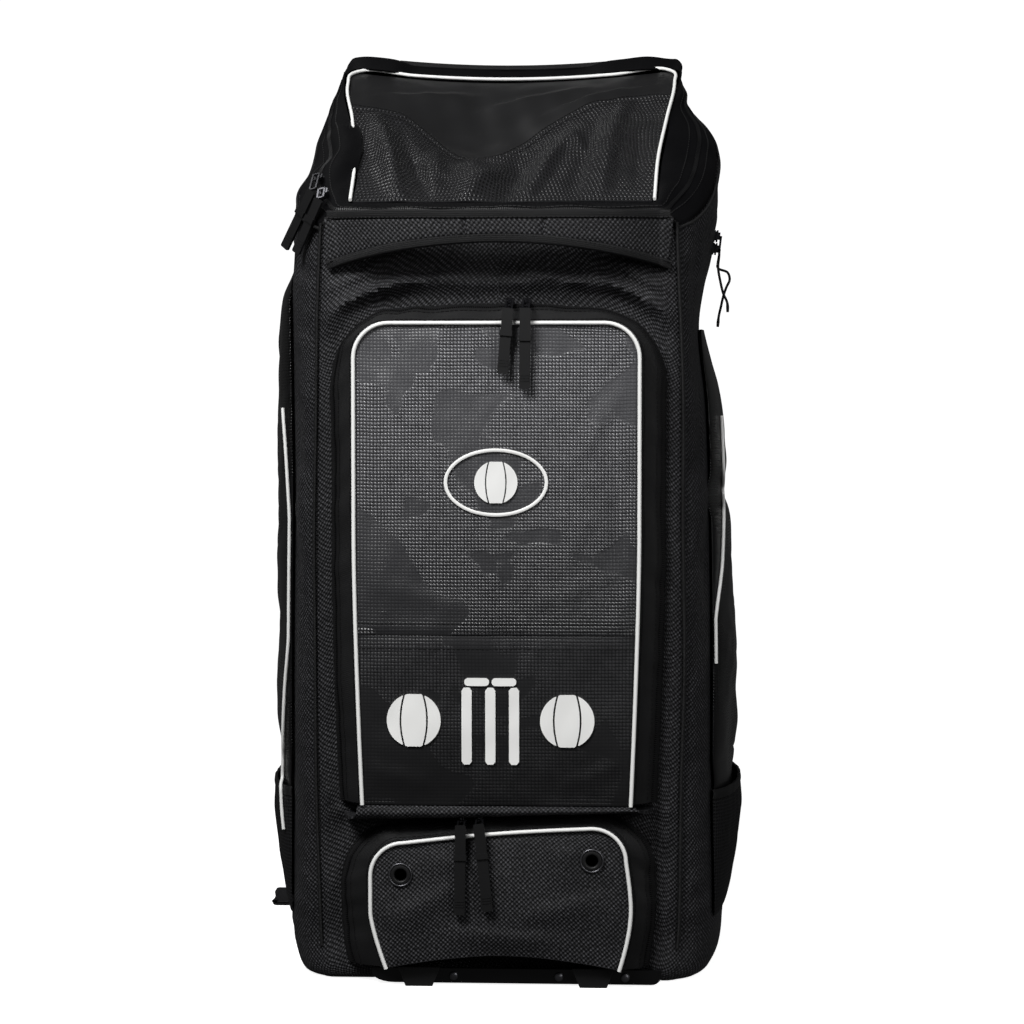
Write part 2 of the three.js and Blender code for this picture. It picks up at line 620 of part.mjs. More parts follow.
// A crowned face panel between the two sides of an arched pocket
function archFace(pocket, levels, rows, y, crown) {
  const { left, right } = archSides(pocket, levels);
  const last = left.length - 1;
  const rim = PIPING_RADIUS / pocket.half;
  const across = [0, rim, ...steps(10).slice(1, -1), 1 - rim, 1];
  return rows.map((row) => across.map((share) => {
    const [a, b] = [left[row], right[row]];
    const arch = row === 0 ? pocket.bottomArch : 0;
    const rise = row === last ? pocket.topArch : arch;
    const z = lerp(a[1], b[1], share) + rise * Math.sin(Math.PI * share);
    return point(lerp(a[0], b[0], share), y - crown * crownShare(pocket, share, z), z);
  }));
}

// White piping that stands on the edge of a pocket's face
function archPiping(pocket, levels, y) {
  const trimmed = { ...pocket, half: pocket.half - PIPING_RADIUS, leftTop: pocket.leftTop - PIPING_RADIUS };
  trimmed.rightTop = pocket.rightTop - PIPING_RADIUS;
  const { left, right } = archSides(trimmed, levels);
  const [a, b] = [left.at(-1), right.at(-1)];
  const top = steps(4).slice(1, -1).map((share) => (
    [lerp(a[0], b[0], share), lerp(a[1], b[1], share) + pocket.topArch * Math.sin(Math.PI * share)]
  ));
  return [...left, ...top, ...right.slice().reverse()].map(([x, z]) => point(x, y, z));
}

const pocketShape = {
  bottom: POCKET_BOTTOM,
  taper: POCKET_TAPER,
  bottomArch: 0,
};
const pocketSeam = {
  ...pocketShape, half: POCKET_SEAM_HALF, leftTop: POCKET_SEAM_TOP - 4, rightTop: POCKET_SEAM_TOP - 4,
  rounding: POCKET_SEAM_ROUNDING, topArch: 4,
};
const pocketFace = {
  ...pocketShape, half: POCKET_FACE_HALF, leftTop: POCKET_FACE_TOP, rightTop: POCKET_FACE_TOP,
  rounding: POCKET_FACE_ROUNDING, topArch: 0,
};
const shoeShape = {
  bottom: SHOE_BOTTOM,
  taper: SHOE_TAPER,
  bottomArch: SHOE_BOTTOM_ARCH,
  topArch: 2,
};
const shoeSeam = {
  ...shoeShape, half: SHOE_SEAM_HALF, leftTop: SHOE_SEAM_LEFT_TOP, rightTop: SHOE_SEAM_RIGHT_TOP,
  rounding: SHOE_SEAM_ROUNDING,
};
const shoeFace = {
  ...shoeShape, half: SHOE_FACE_HALF, leftTop: SHOE_FACE_LEFT_TOP, rightTop: SHOE_FACE_RIGHT_TOP,
  rounding: SHOE_FACE_ROUNDING,
};

// A place half-way along a pocket's gusset, bulged out from the straight way between its two seams
function gussetMiddle(foot, edge) {
  const bulge = foot.clone().sub(edge).setY(0).multiplyScalar(0.2);
  return foot.clone().lerp(edge, 0.55).add(bulge);
}

// The band between a pocket's seam on the front panel and the edge of its face
function pocketGusset(name, seam, face, levels, reach) {
  const at = (shape, out) => archLoop(shape, levels, -(FRONT_DEPTH + out));
  const foot = at(seam, SEAM_GAP + POCKET_STAND);
  const edge = at(face, reach - POCKET_STAND);
  const middle = foot.map((place, j) => gussetMiddle(place, edge[j]));
  const rows = [at(seam, SEAM_GAP), foot, middle, edge, at(face, reach)];
  piece(name, wall(rows, CLOTH, { wrap: true }), finishes.smooth);
}

const FACE_SIDE = POCKET_FACE_TOP - POCKET_FACE_ROUNDING - POCKET_BOTTOM; // straight side of the face
const POCKET_LEVELS = [0, 0.19, (POCKET_SPLIT - POCKET_BOTTOM) / FACE_SIDE, 0.6, 0.82, 1];
const SHOE_LEVELS = [0, 0.35, 0.7, 1];

function buildFrontPocket() {
  pocketGusset('front_pocket_gusset', pocketSeam, pocketFace, POCKET_LEVELS, POCKET_REACH);
  const back = -(FRONT_DEPTH + POCKET_REACH + SEAM_GAP);
  const front = back - CLOTH;
  const lowerRows = archFace(pocketFace, POCKET_LEVELS, [0, 1, 2], front, POCKET_CROWN);
  const upperRows = archFace(pocketFace, POCKET_LEVELS, [2, 3, 4, 5, 6, 7, 8, 9, 10], front, POCKET_CROWN);
  upperRows[0].forEach((place) => place.setZ(place.z + SEAM_GAP));
  piece('front_face_lower', wall(lowerRows, CLOTH), finishes.vinyl);
  piece('front_face_upper', wall(upperRows, CLOTH), finishes.vinyl);
  const path = archPiping(pocketFace, POCKET_LEVELS, front - SEAM_GAP - PIPING_RADIUS - 0.4);
  piece('front_piping', rod(path, PIPING_RADIUS, PIPING_SIDES, 44), finishes.white);
}

function buildShoePocket() {
  pocketGusset('shoe_pocket_gusset', shoeSeam, shoeFace, SHOE_LEVELS, SHOE_REACH);
  const back = -(FRONT_DEPTH + SHOE_REACH + SEAM_GAP);
  const front = back - CLOTH;
  const face = wall(archFace(shoeFace, SHOE_LEVELS, [0, 1, 2, 3, 4, 5, 6, 7, 8], front, SHOE_CROWN), CLOTH);
  const holes = [-1, 1].map((side) => {
    const drill = new THREE.CylinderGeometry(EYELET_HOLE + SEAM_GAP, EYELET_HOLE + SEAM_GAP, 60, 16);
    return drill.translate(eyeletX(side), front, eyeletZ(side));
  });
  piece('shoe_pocket_face', cut(face, ...holes), finishes.woven);
  const path = archPiping(shoeFace, SHOE_LEVELS, front - SEAM_GAP - PIPING_RADIUS - 0.4);
  piece('shoe_piping', rod(path, PIPING_RADIUS, PIPING_SIDES, 36), finishes.white);
  for (const side of [-1, 1]) {
    const share = (eyeletX(side) / shoeFace.half + 1) / 2;
    const crown = SHOE_CROWN * crownShare(shoeFace, share, eyeletZ(side));
    buildEyelet(side, front - crown - EYELET_SEAT);
  }
}

const eyeletX = (side) => side * (SHOE_FACE_HALF - SHOE_FACE_ROUNDING - 2);
const eyeletZ = (side) => (side < 0 ? SHOE_FACE_LEFT_TOP : SHOE_FACE_RIGHT_TOP) - SHOE_FACE_ROUNDING;

// Ringed vent through the shoe pocket's face
function buildEyelet(side, y) {
  const half = EYELET_RIM / 2;
  const profile = [
    [EYELET_HOLE, -half], [EYELET_OUTER - 1, -half], [EYELET_OUTER, 0], [EYELET_OUTER - 1, half],
    [EYELET_HOLE + 1.5, half], [EYELET_HOLE, 0.3], [EYELET_HOLE, -half],
  ].map(([r, h]) => new THREE.Vector2(r, h));
  const ring = new THREE.LatheGeometry(profile, 14);
  ring.translate(eyeletX(side), y - half, eyeletZ(side));
  piece(`vent_eyelet_${sideName(side)}`, ring, finishes.metal);
}

// Pockets on the sides of the body

// A grid that stands off a side wall, seen from outside: rows run upwards, columns to the right
function sideGrid(side, rows, front, back, fullness) {
  return rows.map(({ z, up }) => steps(8).map((share) => {
    const along = side < 0 ? 1 - share : share;
    const y = lerp(-front(up), back(up), along);
    const out = sideWall(side, y, z) + SIDE_SEAT + CLOTH + fullness(up, along);
    return point(side * out, y, z);
  }));
}

const pocketFullness = (side, up, along) => (
  SIDE_BULGE * read(SIDE_ROWS, 'up', sideName(side), up) * Math.max(Math.sin(Math.PI * along), 0) ** 0.5
);
const sideTop = (side) => (side < 0 ? SIDE_POCKET_LEFT_TOP : SIDE_POCKET_RIGHT_TOP);
const sideFront = (up) => SIDE_POCKET_FRONT * (1 - 0.3 * up ** 6);
const sideBack = (up) => SIDE_POCKET_BACK * (1 - 0.3 * up ** 6);

function buildSidePocket(side) {
  const rows = SIDE_ROWS.map(({ up }) => ({ up, z: lerp(SIDE_POCKET_BOTTOM, sideTop(side), up) }));
  const fullness = (up, along) => pocketFullness(side, up, along);
  const grid = sideGrid(side, rows, sideFront, sideBack, fullness);
  piece(`side_pocket_${sideName(side)}`, wall(grid, CLOTH), finishes.vinyl);

  const along = 0.11;
  const path = steps(9).map((share) => {
    const up = lerp(0.05, side < 0 ? 0.72 : 0.82, share);
    const y = lerp(-sideFront(up), sideBack(up), along);
    const z = lerp(SIDE_POCKET_BOTTOM, sideTop(side), up);
    const out = sideWall(side, y, z) + SIDE_SEAT + CLOTH + fullness(up, along);
    return point(side * (out + PIPING_RADIUS * 0.7 + SEAM_GAP), y - PIPING_RADIUS - SEAM_GAP, z);
  });
  piece(`side_piping_${sideName(side)}`, rod(path, PIPING_RADIUS, PIPING_SIDES, 14), finishes.white);
}

function buildBottlePocket(side) {
  const full = (up, along) => BOTTLE_BULGE * up ** 0.7 * Math.max(Math.sin(Math.PI * along), 0) ** 0.5;
  const height = BOTTLE_TOP - BOTTLE_BOTTOM;
  const band = 1 - BOTTLE_BINDING / height;
  const gap = SEAM_GAP / height;
  const rowsOf = (shares) => shares.map((up) => ({ up, z: lerp(BOTTLE_BOTTOM, BOTTLE_TOP, up) }));
  const front = () => SIDE_POCKET_FRONT;
  const back = () => SIDE_POCKET_BACK;
  const mesh = sideGrid(side, rowsOf([0, 0.15, 0.4, 0.7, band - gap]), front, back, full);
  const binding = sideGrid(side, rowsOf([band, 1]), front, back, full);
  piece(`bottle_pocket_${sideName(side)}`, wall(mesh, MESH_CLOTH), finishes.mesh);
  piece(`bottle_binding_${sideName(side)}`, wall(binding, CLOTH), finishes.smooth);
}

// Base tray, its two feet and the rivets in its front lip

const trayX = (share) => TRAY_CENTRE + share * TRAY_HALF;

function buildBase() {
  const plateTop = TRAY_LIFT + TRAY_PLATE;
  const plate = block(trayX(-1), trayX(1), -TRAY_FRONT, TRAY_BACK, TRAY_LIFT, plateTop);
  const lip = block(trayX(-1), trayX(1), -TRAY_FRONT, TRAY_LIP - TRAY_FRONT, TRAY_LIFT, TRAY_LIP_HEIGHT);
  piece('base_tray', fuse(plate, lip), finishes.plastic);
  for (const side of [-1, 1]) buildFoot(side);
  const rivets = { left: -0.432, middle: 0.294, right: 0.75 };
  for (const [name, share] of Object.entries(rivets)) {
    const arc = steps(3).map((turn) => new THREE.Vector2(
      RIVET_RADIUS * Math.cos(turn * Math.PI / 2),
      RIVET_RISE * Math.sin(turn * Math.PI / 2),
    ));
    const dome = new THREE.LatheGeometry([new THREE.Vector2(0, 0), ...arc], 12);
    dome.rotateX(Math.PI);
    dome.translate(trayX(share), -TRAY_FRONT - SEAM_GAP, (TRAY_LIFT + TRAY_LIP_HEIGHT) / 2);
    piece(`rivet_${name}`, dome, finishes.bright);
  }
}

// An L-shaped foot that wraps the tray's front edge and runs back below it
function buildFoot(side) {
  const front = TRAY_FRONT + SEAM_GAP + FOOT_FRONT;
  const profile = new THREE.Shape([
    [front, 0], [front, TRAY_LIP_HEIGHT + 2], [TRAY_FRONT + SEAM_GAP, TRAY_LIP_HEIGHT + 2],
    [TRAY_FRONT + SEAM_GAP, TRAY_LIFT - SEAM_GAP], [-TRAY_BACK, TRAY_LIFT - SEAM_GAP], [-TRAY_BACK, 0],
  ].map(([forward, z]) => new THREE.Vector2(forward, z)));
  const foot = new THREE.ExtrudeGeometry(profile, { depth: 1, bevelEnabled: false });
  const places = foot.attributes.position;
  const centre = FOOT_CENTRE + side * FOOT_SPREAD;
  for (let i = 0; i < places.count; i += 1) {
    const [forward, z, across] = [places.getX(i), places.getY(i), places.getZ(i)];
    const width = lerp(FOOT_BOTTOM_WIDTH, FOOT_TOP_WIDTH, z / (TRAY_LIP_HEIGHT + 2));
    places.setXYZ(i, centre - (across - 0.5) * width, -forward, z);
  }
  piece(`foot_${sideName(side)}`, foot, finishes.rubber);
}

// Zip sliders and pulls

// A frame for a small part: down along a direction, out of the surface that it lies on
function lay(geometry, place, down, out) {
  const z = down.clone().negate().normalize();
  const x = new THREE.Vector3().crossVectors(out.clone().negate(), z).normalize();
  const y = new THREE.Vector3().crossVectors(z, x);
  const matrix = new THREE.Matrix4().makeBasis(x, y, z).setPosition(place);
  return geometry.applyMatrix4(matrix);
}

// A flat rubber pull with a keeper at its top, hanging down from the origin in front of it
function pullShape(length) {
  const half = PULL_WIDTH / 2;
  const tag = block(-half, half, -PULL_THICKNESS / 2, PULL_THICKNESS / 2, -length, 0);
  const top = -Math.min(KEEPER_DROP, length / 3);
  const keeper = block(-half - 0.8, half + 0.8, -KEEPER_DEPTH, PULL_THICKNESS / 2, top - KEEPER_HEIGHT, top);
  return fuse(tag, keeper);
}

// A slider with its bridge, and the link that lies from it to the rubber pull
function sliderShape(drop) {
  const half = SLIDER_WIDTH / 2;
  const body = block(-half, half, -SLIDER_HEIGHT, 0, -SLIDER_DOWN, SLIDER_UP);
  const face = -SLIDER_HEIGHT - BRIDGE_RISE;
  const bridge = block(-1.6, 1.6, face, 1 - SLIDER_HEIGHT, 2 - SLIDER_DOWN, SLIDER_UP - 2);
  const link = block(-half + 0.6, half - 0.6, face - LINK_THICKNESS, face + 0.5, -drop, 0);
  return fuse(body, bridge, link);
}

function buildPull(name, top, bottom, out) {
  const shape = pullShape(top.distanceTo(bottom));
  piece(name, lay(shape, top, bottom.clone().sub(top), out), finishes.rubber);
}

function buildSlider(name, place, drop, down, out) {
  piece(name, lay(sliderShape(drop), place, down, out), finishes.metal);
}

// Two sliders that meet on the top of an arched pocket's gusset, with their rubber pulls.
// Each row gives the slider's place across, the pull's length and how far its end swings aside.
function buildArchPulls(prefix, seam, face, reach, crown, pulls) {
  const hang = -(FRONT_DEPTH + reach + CLOTH + 2 * PIPING_RADIUS + PULL_THICKNESS / 2 + 1 + crown);
  for (const pull of pulls) {
    const [seamTop, faceTop] = [seam, face].map((pocket) => {
      const across = (pull.x / (pocket.half - pocket.rounding) + 1) / 2;
      return lerp(pocket.leftTop, pocket.rightTop, across) + pocket.topArch;
    });
    const foot = point(pull.x, -(FRONT_DEPTH + SEAM_GAP + POCKET_STAND), seamTop);
    const edge = point(pull.x, -(FRONT_DEPTH + reach - POCKET_STAND), faceTop);
    const middle = gussetMiddle(foot, edge);
    const slope = middle.clone().sub(foot).normalize();
    const out = point(0, slope.z, -slope.y);
    const place = foot.clone().lerp(middle, 0.6).addScaledVector(out, SLIDER_SEAT);
    const rise = SLIDER_HEIGHT + BRIDGE_RISE + LINK_THICKNESS;
    const reached = hang + PULL_THICKNESS / 2 + SEAM_GAP - slope.z * rise;
    const drop = (reached - place.y) / slope.y;
    buildSlider(`${prefix}_slider_${pull.name}`, place, drop, slope, out);
    const link = place.clone().addScaledVector(slope, drop).addScaledVector(out, rise);
    const top = point(pull.x, hang, link.z + 1);
    const end = top.clone().add(point(pull.swing, 0, -Math.sqrt(pull.length ** 2 - pull.swing ** 2)));
    buildPull(`${prefix}_pull_${pull.name}`, top, end, point(0, -1, 0));
  }
}

// The two sliders of the main zip at the left, whose pulls hang down past the front corner.
// top is where a pull starts, counted from its slider, and end is where it ends, counted from there.

function buildTopPulls() {
  for (const pull of TOP_PULLS) {
    const row = PLAN[pull.row];
    const seat = gussetPoint(row, -1, 0.5);
    const back = gussetPoint(PLAN[pull.row + 1], -1, 0.5);
    const ahead = gussetPoint(PLAN[pull.row - 1], -1, 0.5);
    const slope = gussetPoint(row, -1, 0.2).sub(gussetPoint(row, -1, 0.8));
    const out = back.sub(ahead).cross(slope).normalize();
    const place = seat.addScaledVector(out, SLIDER_SEAT);
    const top = place.clone().add(point(...pull.top));
    const end = top.clone().add(point(...pull.end));
    const link = place.clone().addScaledVector(out, SLIDER_HEIGHT + BRIDGE_RISE);
    const down = top.clone().sub(link);
    down.addScaledVector(out, -down.dot(out));
    buildSlider(`top_slider_${pull.name}`, place, down.length() - PULL_WIDTH * 0.42, down, out);
    buildPull(`top_pull_${pull.name}`, top, end, point(-0.6, -0.8, 0));
  }
}

// The two sliders of the right side zip, each with a pull of thin cord that hangs from its link
function buildSideZip() {
  for (const { name, forward, drop, route } of SIDE_CORDS) {
    const at = (z) => point(sideWall(1, -forward, z), -forward, z);
    const back = (1 - forward / FRONT_DEPTH) / 2;
    const middle = at(lerp(WALL_FRONT_TOP, WALL_BACK_TOP, back) - drop);
    const down = at(middle.z - SLIDER_DOWN).sub(at(middle.z + SLIDER_UP)).normalize();
    const out = point(-down.z, 0, down.x);
    const bulge = Math.max(...steps(4).map((share) => {
      const place = at(lerp(middle.z - SLIDER_DOWN, middle.z + SLIDER_UP, share));
      return place.sub(middle).dot(out);
    }));
    const place = middle.clone().addScaledVector(out, bulge + SLIDER_SEAT);
    buildSlider(`side_slider_${name}`, place, SIDE_LINK, down, out);
    const hole = place.clone().addScaledVector(down, SIDE_LINK + SEAM_GAP);
    hole.addScaledVector(out, SLIDER_HEIGHT + BRIDGE_RISE + LINK_THICKNESS / 2);
    const below = hole.clone().add(point(0, 0, -2 * CORD_RADIUS));
    const path = [hole, below, ...route.map(([x, z]) => hole.clone().add(point(x, 0, z)))];
    piece(`cord_pull_${name}`, rod(path, CORD_RADIUS, CORD_SIDES, 16), finishes.rubber);
  }
}

// Back: two padded shoulder straps, their lower webbing and the tab low on the left

function buildStrap(side) {
  const centreX = (out) => STRAP_SPREAD + out * STRAP_OUT;
  const rows = STRAP_ROWS.slice().reverse().map((row) => steps(4).map((share) => {
    const offset = (0.5 - share) * STRAP_WIDTH * row.width;
    const round = 3 * Math.sin(Math.PI * share) - 3;
    const y = BACK_DEPTH + SEAM_GAP + STRAP_PADDING + 3 + STRAP_BOW * row.bow + round;
    return point(side * centreX(row.out) + offset, y, lerp(STRAP_TOP, STRAP_BOTTOM, row.down));
  }));
  piece(`shoulder_strap_${sideName(side)}`, wall(rows, STRAP_PADDING), finishes.woven);

  const end = centreX(1);
  const webbing = steps(3).map((up) => [1, -1].map((edge) => {
    const x = side * lerp(WEBBING_FOOT_HALF, end, up) + edge * WEBBING_WIDTH / 2;
    const z = lerp(WEBBING_FOOT_RISE, STRAP_BOTTOM - SEAM_GAP * 2, up);
    return point(x, BACK_DEPTH + SEAM_GAP + WEBBING, z);
  }));
  piece(`strap_webbing_${sideName(side)}`, wall(webbing, WEBBING), finishes.woven);
}

// A short folded end of webbing that stands out of the left side seam
function buildTab() {
  const start = sideWall(-1, TAB_FRONT + WEBBING_WIDTH / 2, TAB_RISE) + SIDE_SEAT;
  const shape = new THREE.Shape();
  const half = TAB_HEIGHT / 2;
  const reach = BODY_HALF + TAB_OUT;
  shape.moveTo(start, TAB_RISE - half * 0.6);
  shape.lineTo(reach - half, TAB_RISE - half);
  shape.absarc(reach - half, TAB_RISE, half, -Math.PI / 2, Math.PI / 2, false);
  shape.lineTo(start, TAB_RISE + half * 0.6);
  const options = { depth: WEBBING_WIDTH, bevelEnabled: false, curveSegments: 5 };
  const tab = new THREE.ExtrudeGeometry(shape, options);
  tab.rotateX(Math.PI / 2);
  tab.rotateZ(Math.PI);
  tab.translate(0, TAB_FRONT, 0);
  piece('webbing_tab', tab, finishes.woven);
}

// Raised shapes on the front pocket: three stumps with their bails between two balls, and an oval rim

// Distance from the middle plane to the front of the pocket's face
function faceFront(x, z) {
  const share = crownShare(pocketFace, (x / pocketFace.half + 1) / 2, z);
  return FRONT_DEPTH + POCKET_REACH + SEAM_GAP + CLOTH + POCKET_CROWN * share;
}

// A flat raised shape, seated by its corner that is nearest to the fullest part of the face
function raised(name, shape, x, z, cornerX, cornerZ) {
  const options = { depth: MOTIF_RAISE, bevelEnabled: false, curveSegments: 9 };
  const plate = new THREE.ExtrudeGeometry(shape, options);
  plate.rotateX(Math.PI / 2);
  plate.translate(x, -faceFront(cornerX, cornerZ) - SEAM_GAP, z);
  piece(name, plate, finishes.white);
}

function stumpsShape() {
  const half = STUMP_PITCH + STUMP_WIDTH / 2;
  const outline = [];
  for (let leg = 0; leg < 3; leg += 1) {
    const left = leg * STUMP_PITCH - half;
    const right = left + STUMP_WIDTH;
    outline.push([left, leg === 0 ? 0 : STUMP_HEIGHT - BAIL_HEIGHT]);
    if (leg > 0) outline.push([left, 0]);
    outline.push([right, 0]);
    if (leg < 2) outline.push([right, STUMP_HEIGHT - BAIL_HEIGHT]);
  }
  outline.push([half, STUMP_HEIGHT], [-half, STUMP_HEIGHT]);
  return new THREE.Shape(outline.map(([x, z]) => new THREE.Vector2(x, z)));
}

function buildRaisedShapes() {
  const top = MOTIF_RISE + STUMP_HEIGHT;
  raised('motif_stumps', stumpsShape(), MOTIF_CENTRE, MOTIF_RISE, 0, top);
  for (const side of [-1, 1]) {
    const ball = new THREE.Shape();
    ball.absarc(0, 0, BALL_RADIUS, 0, Math.PI * 2);
    const x = MOTIF_CENTRE + side * BALL_SPREAD;
    const z = MOTIF_RISE + STUMP_HEIGHT / 2;
    raised(`motif_ball_${sideName(side)}`, ball, x, z, x - side * BALL_RADIUS, z + BALL_RADIUS);
  }
  const rim = new THREE.Shape();
  rim.absellipse(0, 0, BADGE_WIDTH / 2, BADGE_HEIGHT / 2, 0, Math.PI * 2);
  const hole = new THREE.Path();
  hole.absellipse(0, 0, BADGE_WIDTH / 2 - BADGE_RIM, BADGE_HEIGHT / 2 - BADGE_RIM, 0, Math.PI * 2);
  rim.holes.push(hole);
  raised('badge_rim', rim, 0, BADGE_RISE, 0, (POCKET_FACE_TOP + POCKET_BOTTOM) / 2);
}

buildBody();
buildLid();
buildGrabLoop();
buildHandle();
buildFrontPocket();
buildShoePocket();
for (const side of [-1, 1]) {
  buildCornerPiping(side);
  buildSidePocket(side);
  buildBottlePocket(side);
}
buildBase();
buildArchPulls('front', pocketSeam, pocketFace, POCKET_REACH, POCKET_CROWN, FRONT_PULLS);
buildArchPulls('shoe', shoeSeam, shoeFace, SHOE_REACH, SHOE_CROWN, SHOE_PULLS);
buildTopPulls();
buildSideZip();
for (const side of [-1, 1]) buildStrap(side);
buildTab();
buildRaisedShapes();

export default bag;
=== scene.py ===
"""Dresses the cricket kit bag: woven body, vinyl panels, zips, piping, handle, base tray and straps.

Every length in the tables and fields is in millimetres, in the frame of the solids: +Z up, the front
faces -Y. Meshes are written in metres.
"""

import logging
import math
from dataclasses import dataclass, field, replace
from enum import Enum
from typing import Callable, Iterable, Sequence

import bmesh
import bpy
import numpy as np
from mathutils import Matrix, Vector

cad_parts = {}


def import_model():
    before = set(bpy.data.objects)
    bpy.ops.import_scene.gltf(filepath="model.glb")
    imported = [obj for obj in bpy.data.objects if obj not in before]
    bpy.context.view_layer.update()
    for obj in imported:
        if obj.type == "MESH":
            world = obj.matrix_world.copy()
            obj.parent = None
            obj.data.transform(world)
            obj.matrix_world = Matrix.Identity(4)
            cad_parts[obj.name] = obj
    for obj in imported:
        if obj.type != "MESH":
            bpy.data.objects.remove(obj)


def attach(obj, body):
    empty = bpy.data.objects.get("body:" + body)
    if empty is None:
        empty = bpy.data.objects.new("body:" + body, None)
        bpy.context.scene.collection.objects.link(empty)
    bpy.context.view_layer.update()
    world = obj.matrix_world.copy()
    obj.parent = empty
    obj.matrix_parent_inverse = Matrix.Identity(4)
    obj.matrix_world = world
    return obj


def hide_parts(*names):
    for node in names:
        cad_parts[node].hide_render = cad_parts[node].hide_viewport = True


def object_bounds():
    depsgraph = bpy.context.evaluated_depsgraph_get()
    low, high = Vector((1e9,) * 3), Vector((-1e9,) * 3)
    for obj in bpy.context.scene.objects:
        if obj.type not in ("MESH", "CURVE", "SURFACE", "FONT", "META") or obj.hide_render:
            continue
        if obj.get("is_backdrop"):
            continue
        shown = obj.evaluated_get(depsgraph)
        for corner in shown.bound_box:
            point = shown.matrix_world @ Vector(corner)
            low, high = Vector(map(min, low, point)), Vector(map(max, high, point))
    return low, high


log = logging.getLogger("kit_bag")
MM = 0.001
GAP = 0.3
CLOTH = 2.4
Grid = np.ndarray


class Side(Enum):
    """Left or right, as seen from the front."""

    LEFT = -1
    RIGHT = 1

    @property
    def word(self) -> str:
        """The side's name in a piece's name."""
        return self.name.lower()


# ---------------------------------------------------------------- numbers and surfaces


def ease(places: Sequence[float], values: Sequence[float] | Grid, at: float | Grid) -> Grid:
    """Reads a table smoothly, without passing its highest and lowest values.

    Args:
        places: rising places of the rows.
        values: one value, or one array, for each row.
        at: where to read.

    Returns:
        The value at each place.
    """
    places = np.asarray(places, float)
    values = np.asarray(values, float)
    at = np.clip(np.asarray(at, float), places[0], places[-1])
    tail = (1,) * (values.ndim - 1)
    gaps = np.diff(places).reshape(-1, *tail)
    slopes = np.diff(values, axis=0) / gaps
    turns = np.zeros_like(values)
    product = slopes[:-1] * slopes[1:]
    total = slopes[:-1] + slopes[1:]
    turns[1:-1] = np.where(product > 0, 2 * product / np.where(product > 0, total, 1), 0)
    turns[0], turns[-1] = slopes[0], slopes[-1]
    i = np.clip(np.searchsorted(places, at, side="right") - 1, 0, len(places) - 2)
    t = ((at - places[i]) / (places[i + 1] - places[i])).reshape(at.shape + tail)
    step = (places[i + 1] - places[i]).reshape(at.shape + tail)
    start, end = values[i], values[i + 1]
    return (
        (2 * t**3 - 3 * t**2 + 1) * start
        + (t**3 - 2 * t**2 + t) * step * turns[i]
        + (3 * t**2 - 2 * t**3) * end
        + (t**3 - t**2) * step * turns[i + 1]
    )


def fade(value: Grid | float, start: float, end: float) -> Grid:
    """Rises smoothly from 0 at start to 1 at end."""
    share = np.clip((np.asarray(value, float) - start) / (end - start), 0, 1)
    return share * share * (3 - 2 * share)


def waves(u: Grid, v: Grid, size: float, seed: int, count: int = 9) -> Grid:
    """Soft irregular waves over a surface.

    Args:
        u: place across, in millimetres.
        v: place along, in millimetres.
        size: usual length of a wave.
        seed: picks the pattern.
        count: how many waves are added up.

    Returns:
        A height from about -1 to 1.
    """
    rng = np.random.default_rng(seed)
    total = np.zeros(np.broadcast(u, v).shape)
    for _ in range(count):
        turn, phase = rng.uniform(0, 2 * math.pi, 2)
        rate = 2 * math.pi * rng.uniform(0.6, 1.6) / size
        total += np.sin((u * math.cos(turn) + v * math.sin(turn)) * rate + phase)
    return total / math.sqrt(count) / 1.4


@dataclass(frozen=True)
class Crease:
    """A fold along a line: steep on one side and soft on the other."""

    start: tuple[float, float]
    end: tuple[float, float]
    width: float
    height: float

    def lift(self, u: Grid, v: Grid) -> Grid:
        """Height of the fold at places u across and v along."""
        (ax, ay), (bx, by) = self.start, self.end
        dx, dy = bx - ax, by - ay
        share = np.clip(((u - ax) * dx + (v - ay) * dy) / (dx * dx + dy * dy), 0, 1)
        px, py = u - (ax + share * dx), v - (ay + share * dy)
        steep = np.where(px * dy - py * dx > 0, 1.0, 1.9)
        far = np.hypot(px, py) / self.width * steep
        return self.height * np.exp(-(far**2)) * (0.3 + 0.7 * np.sin(math.pi * share))


def fold(creases: Iterable[Crease], u: Grid, v: Grid) -> Grid:
    """Height of all the folds together."""
    return sum((crease.lift(u, v) for crease in creases), np.zeros(np.broadcast(u, v).shape))


def normals_of(grid: Grid, wrap: bool = False) -> Grid:
    """Outward normals of a grid whose rows run up and columns run right, seen from outside."""
    if wrap:
        across = np.roll(grid, -1, 1) - np.roll(grid, 1, 1)
    else:
        across = np.gradient(grid, axis=1)
    normals = np.cross(across, np.gradient(grid, axis=0))
    return normals / np.maximum(np.linalg.norm(normals, axis=2, keepdims=True), 1e-9)


def unit(vector: Sequence[float]) -> Grid:
    """A vector of length 1."""
    vector = np.asarray(vector, float)
    return vector / np.linalg.norm(vector)


def along_path(path: Grid) -> Grid:
    """Length of a path from its start to each of its points."""
    return np.concatenate([[0.0], np.cumsum(np.linalg.norm(np.diff(path, axis=0), axis=1))])


def resample(path: Sequence[Sequence[float]], step: float) -> Grid:
    """Points about one step apart on a smooth curve through the given ones."""
    path = np.asarray(path, float)
    places = along_path(path)
    count = max(int(round(places[-1] / step)), 2)
    smooth = ease_curve(path, places, np.linspace(0, places[-1], count * 4 + 1))
    places = along_path(smooth)
    return np.stack([np.interp(np.linspace(0, places[-1], count + 1), places, smooth[:, k]) for k in range(3)], 1)


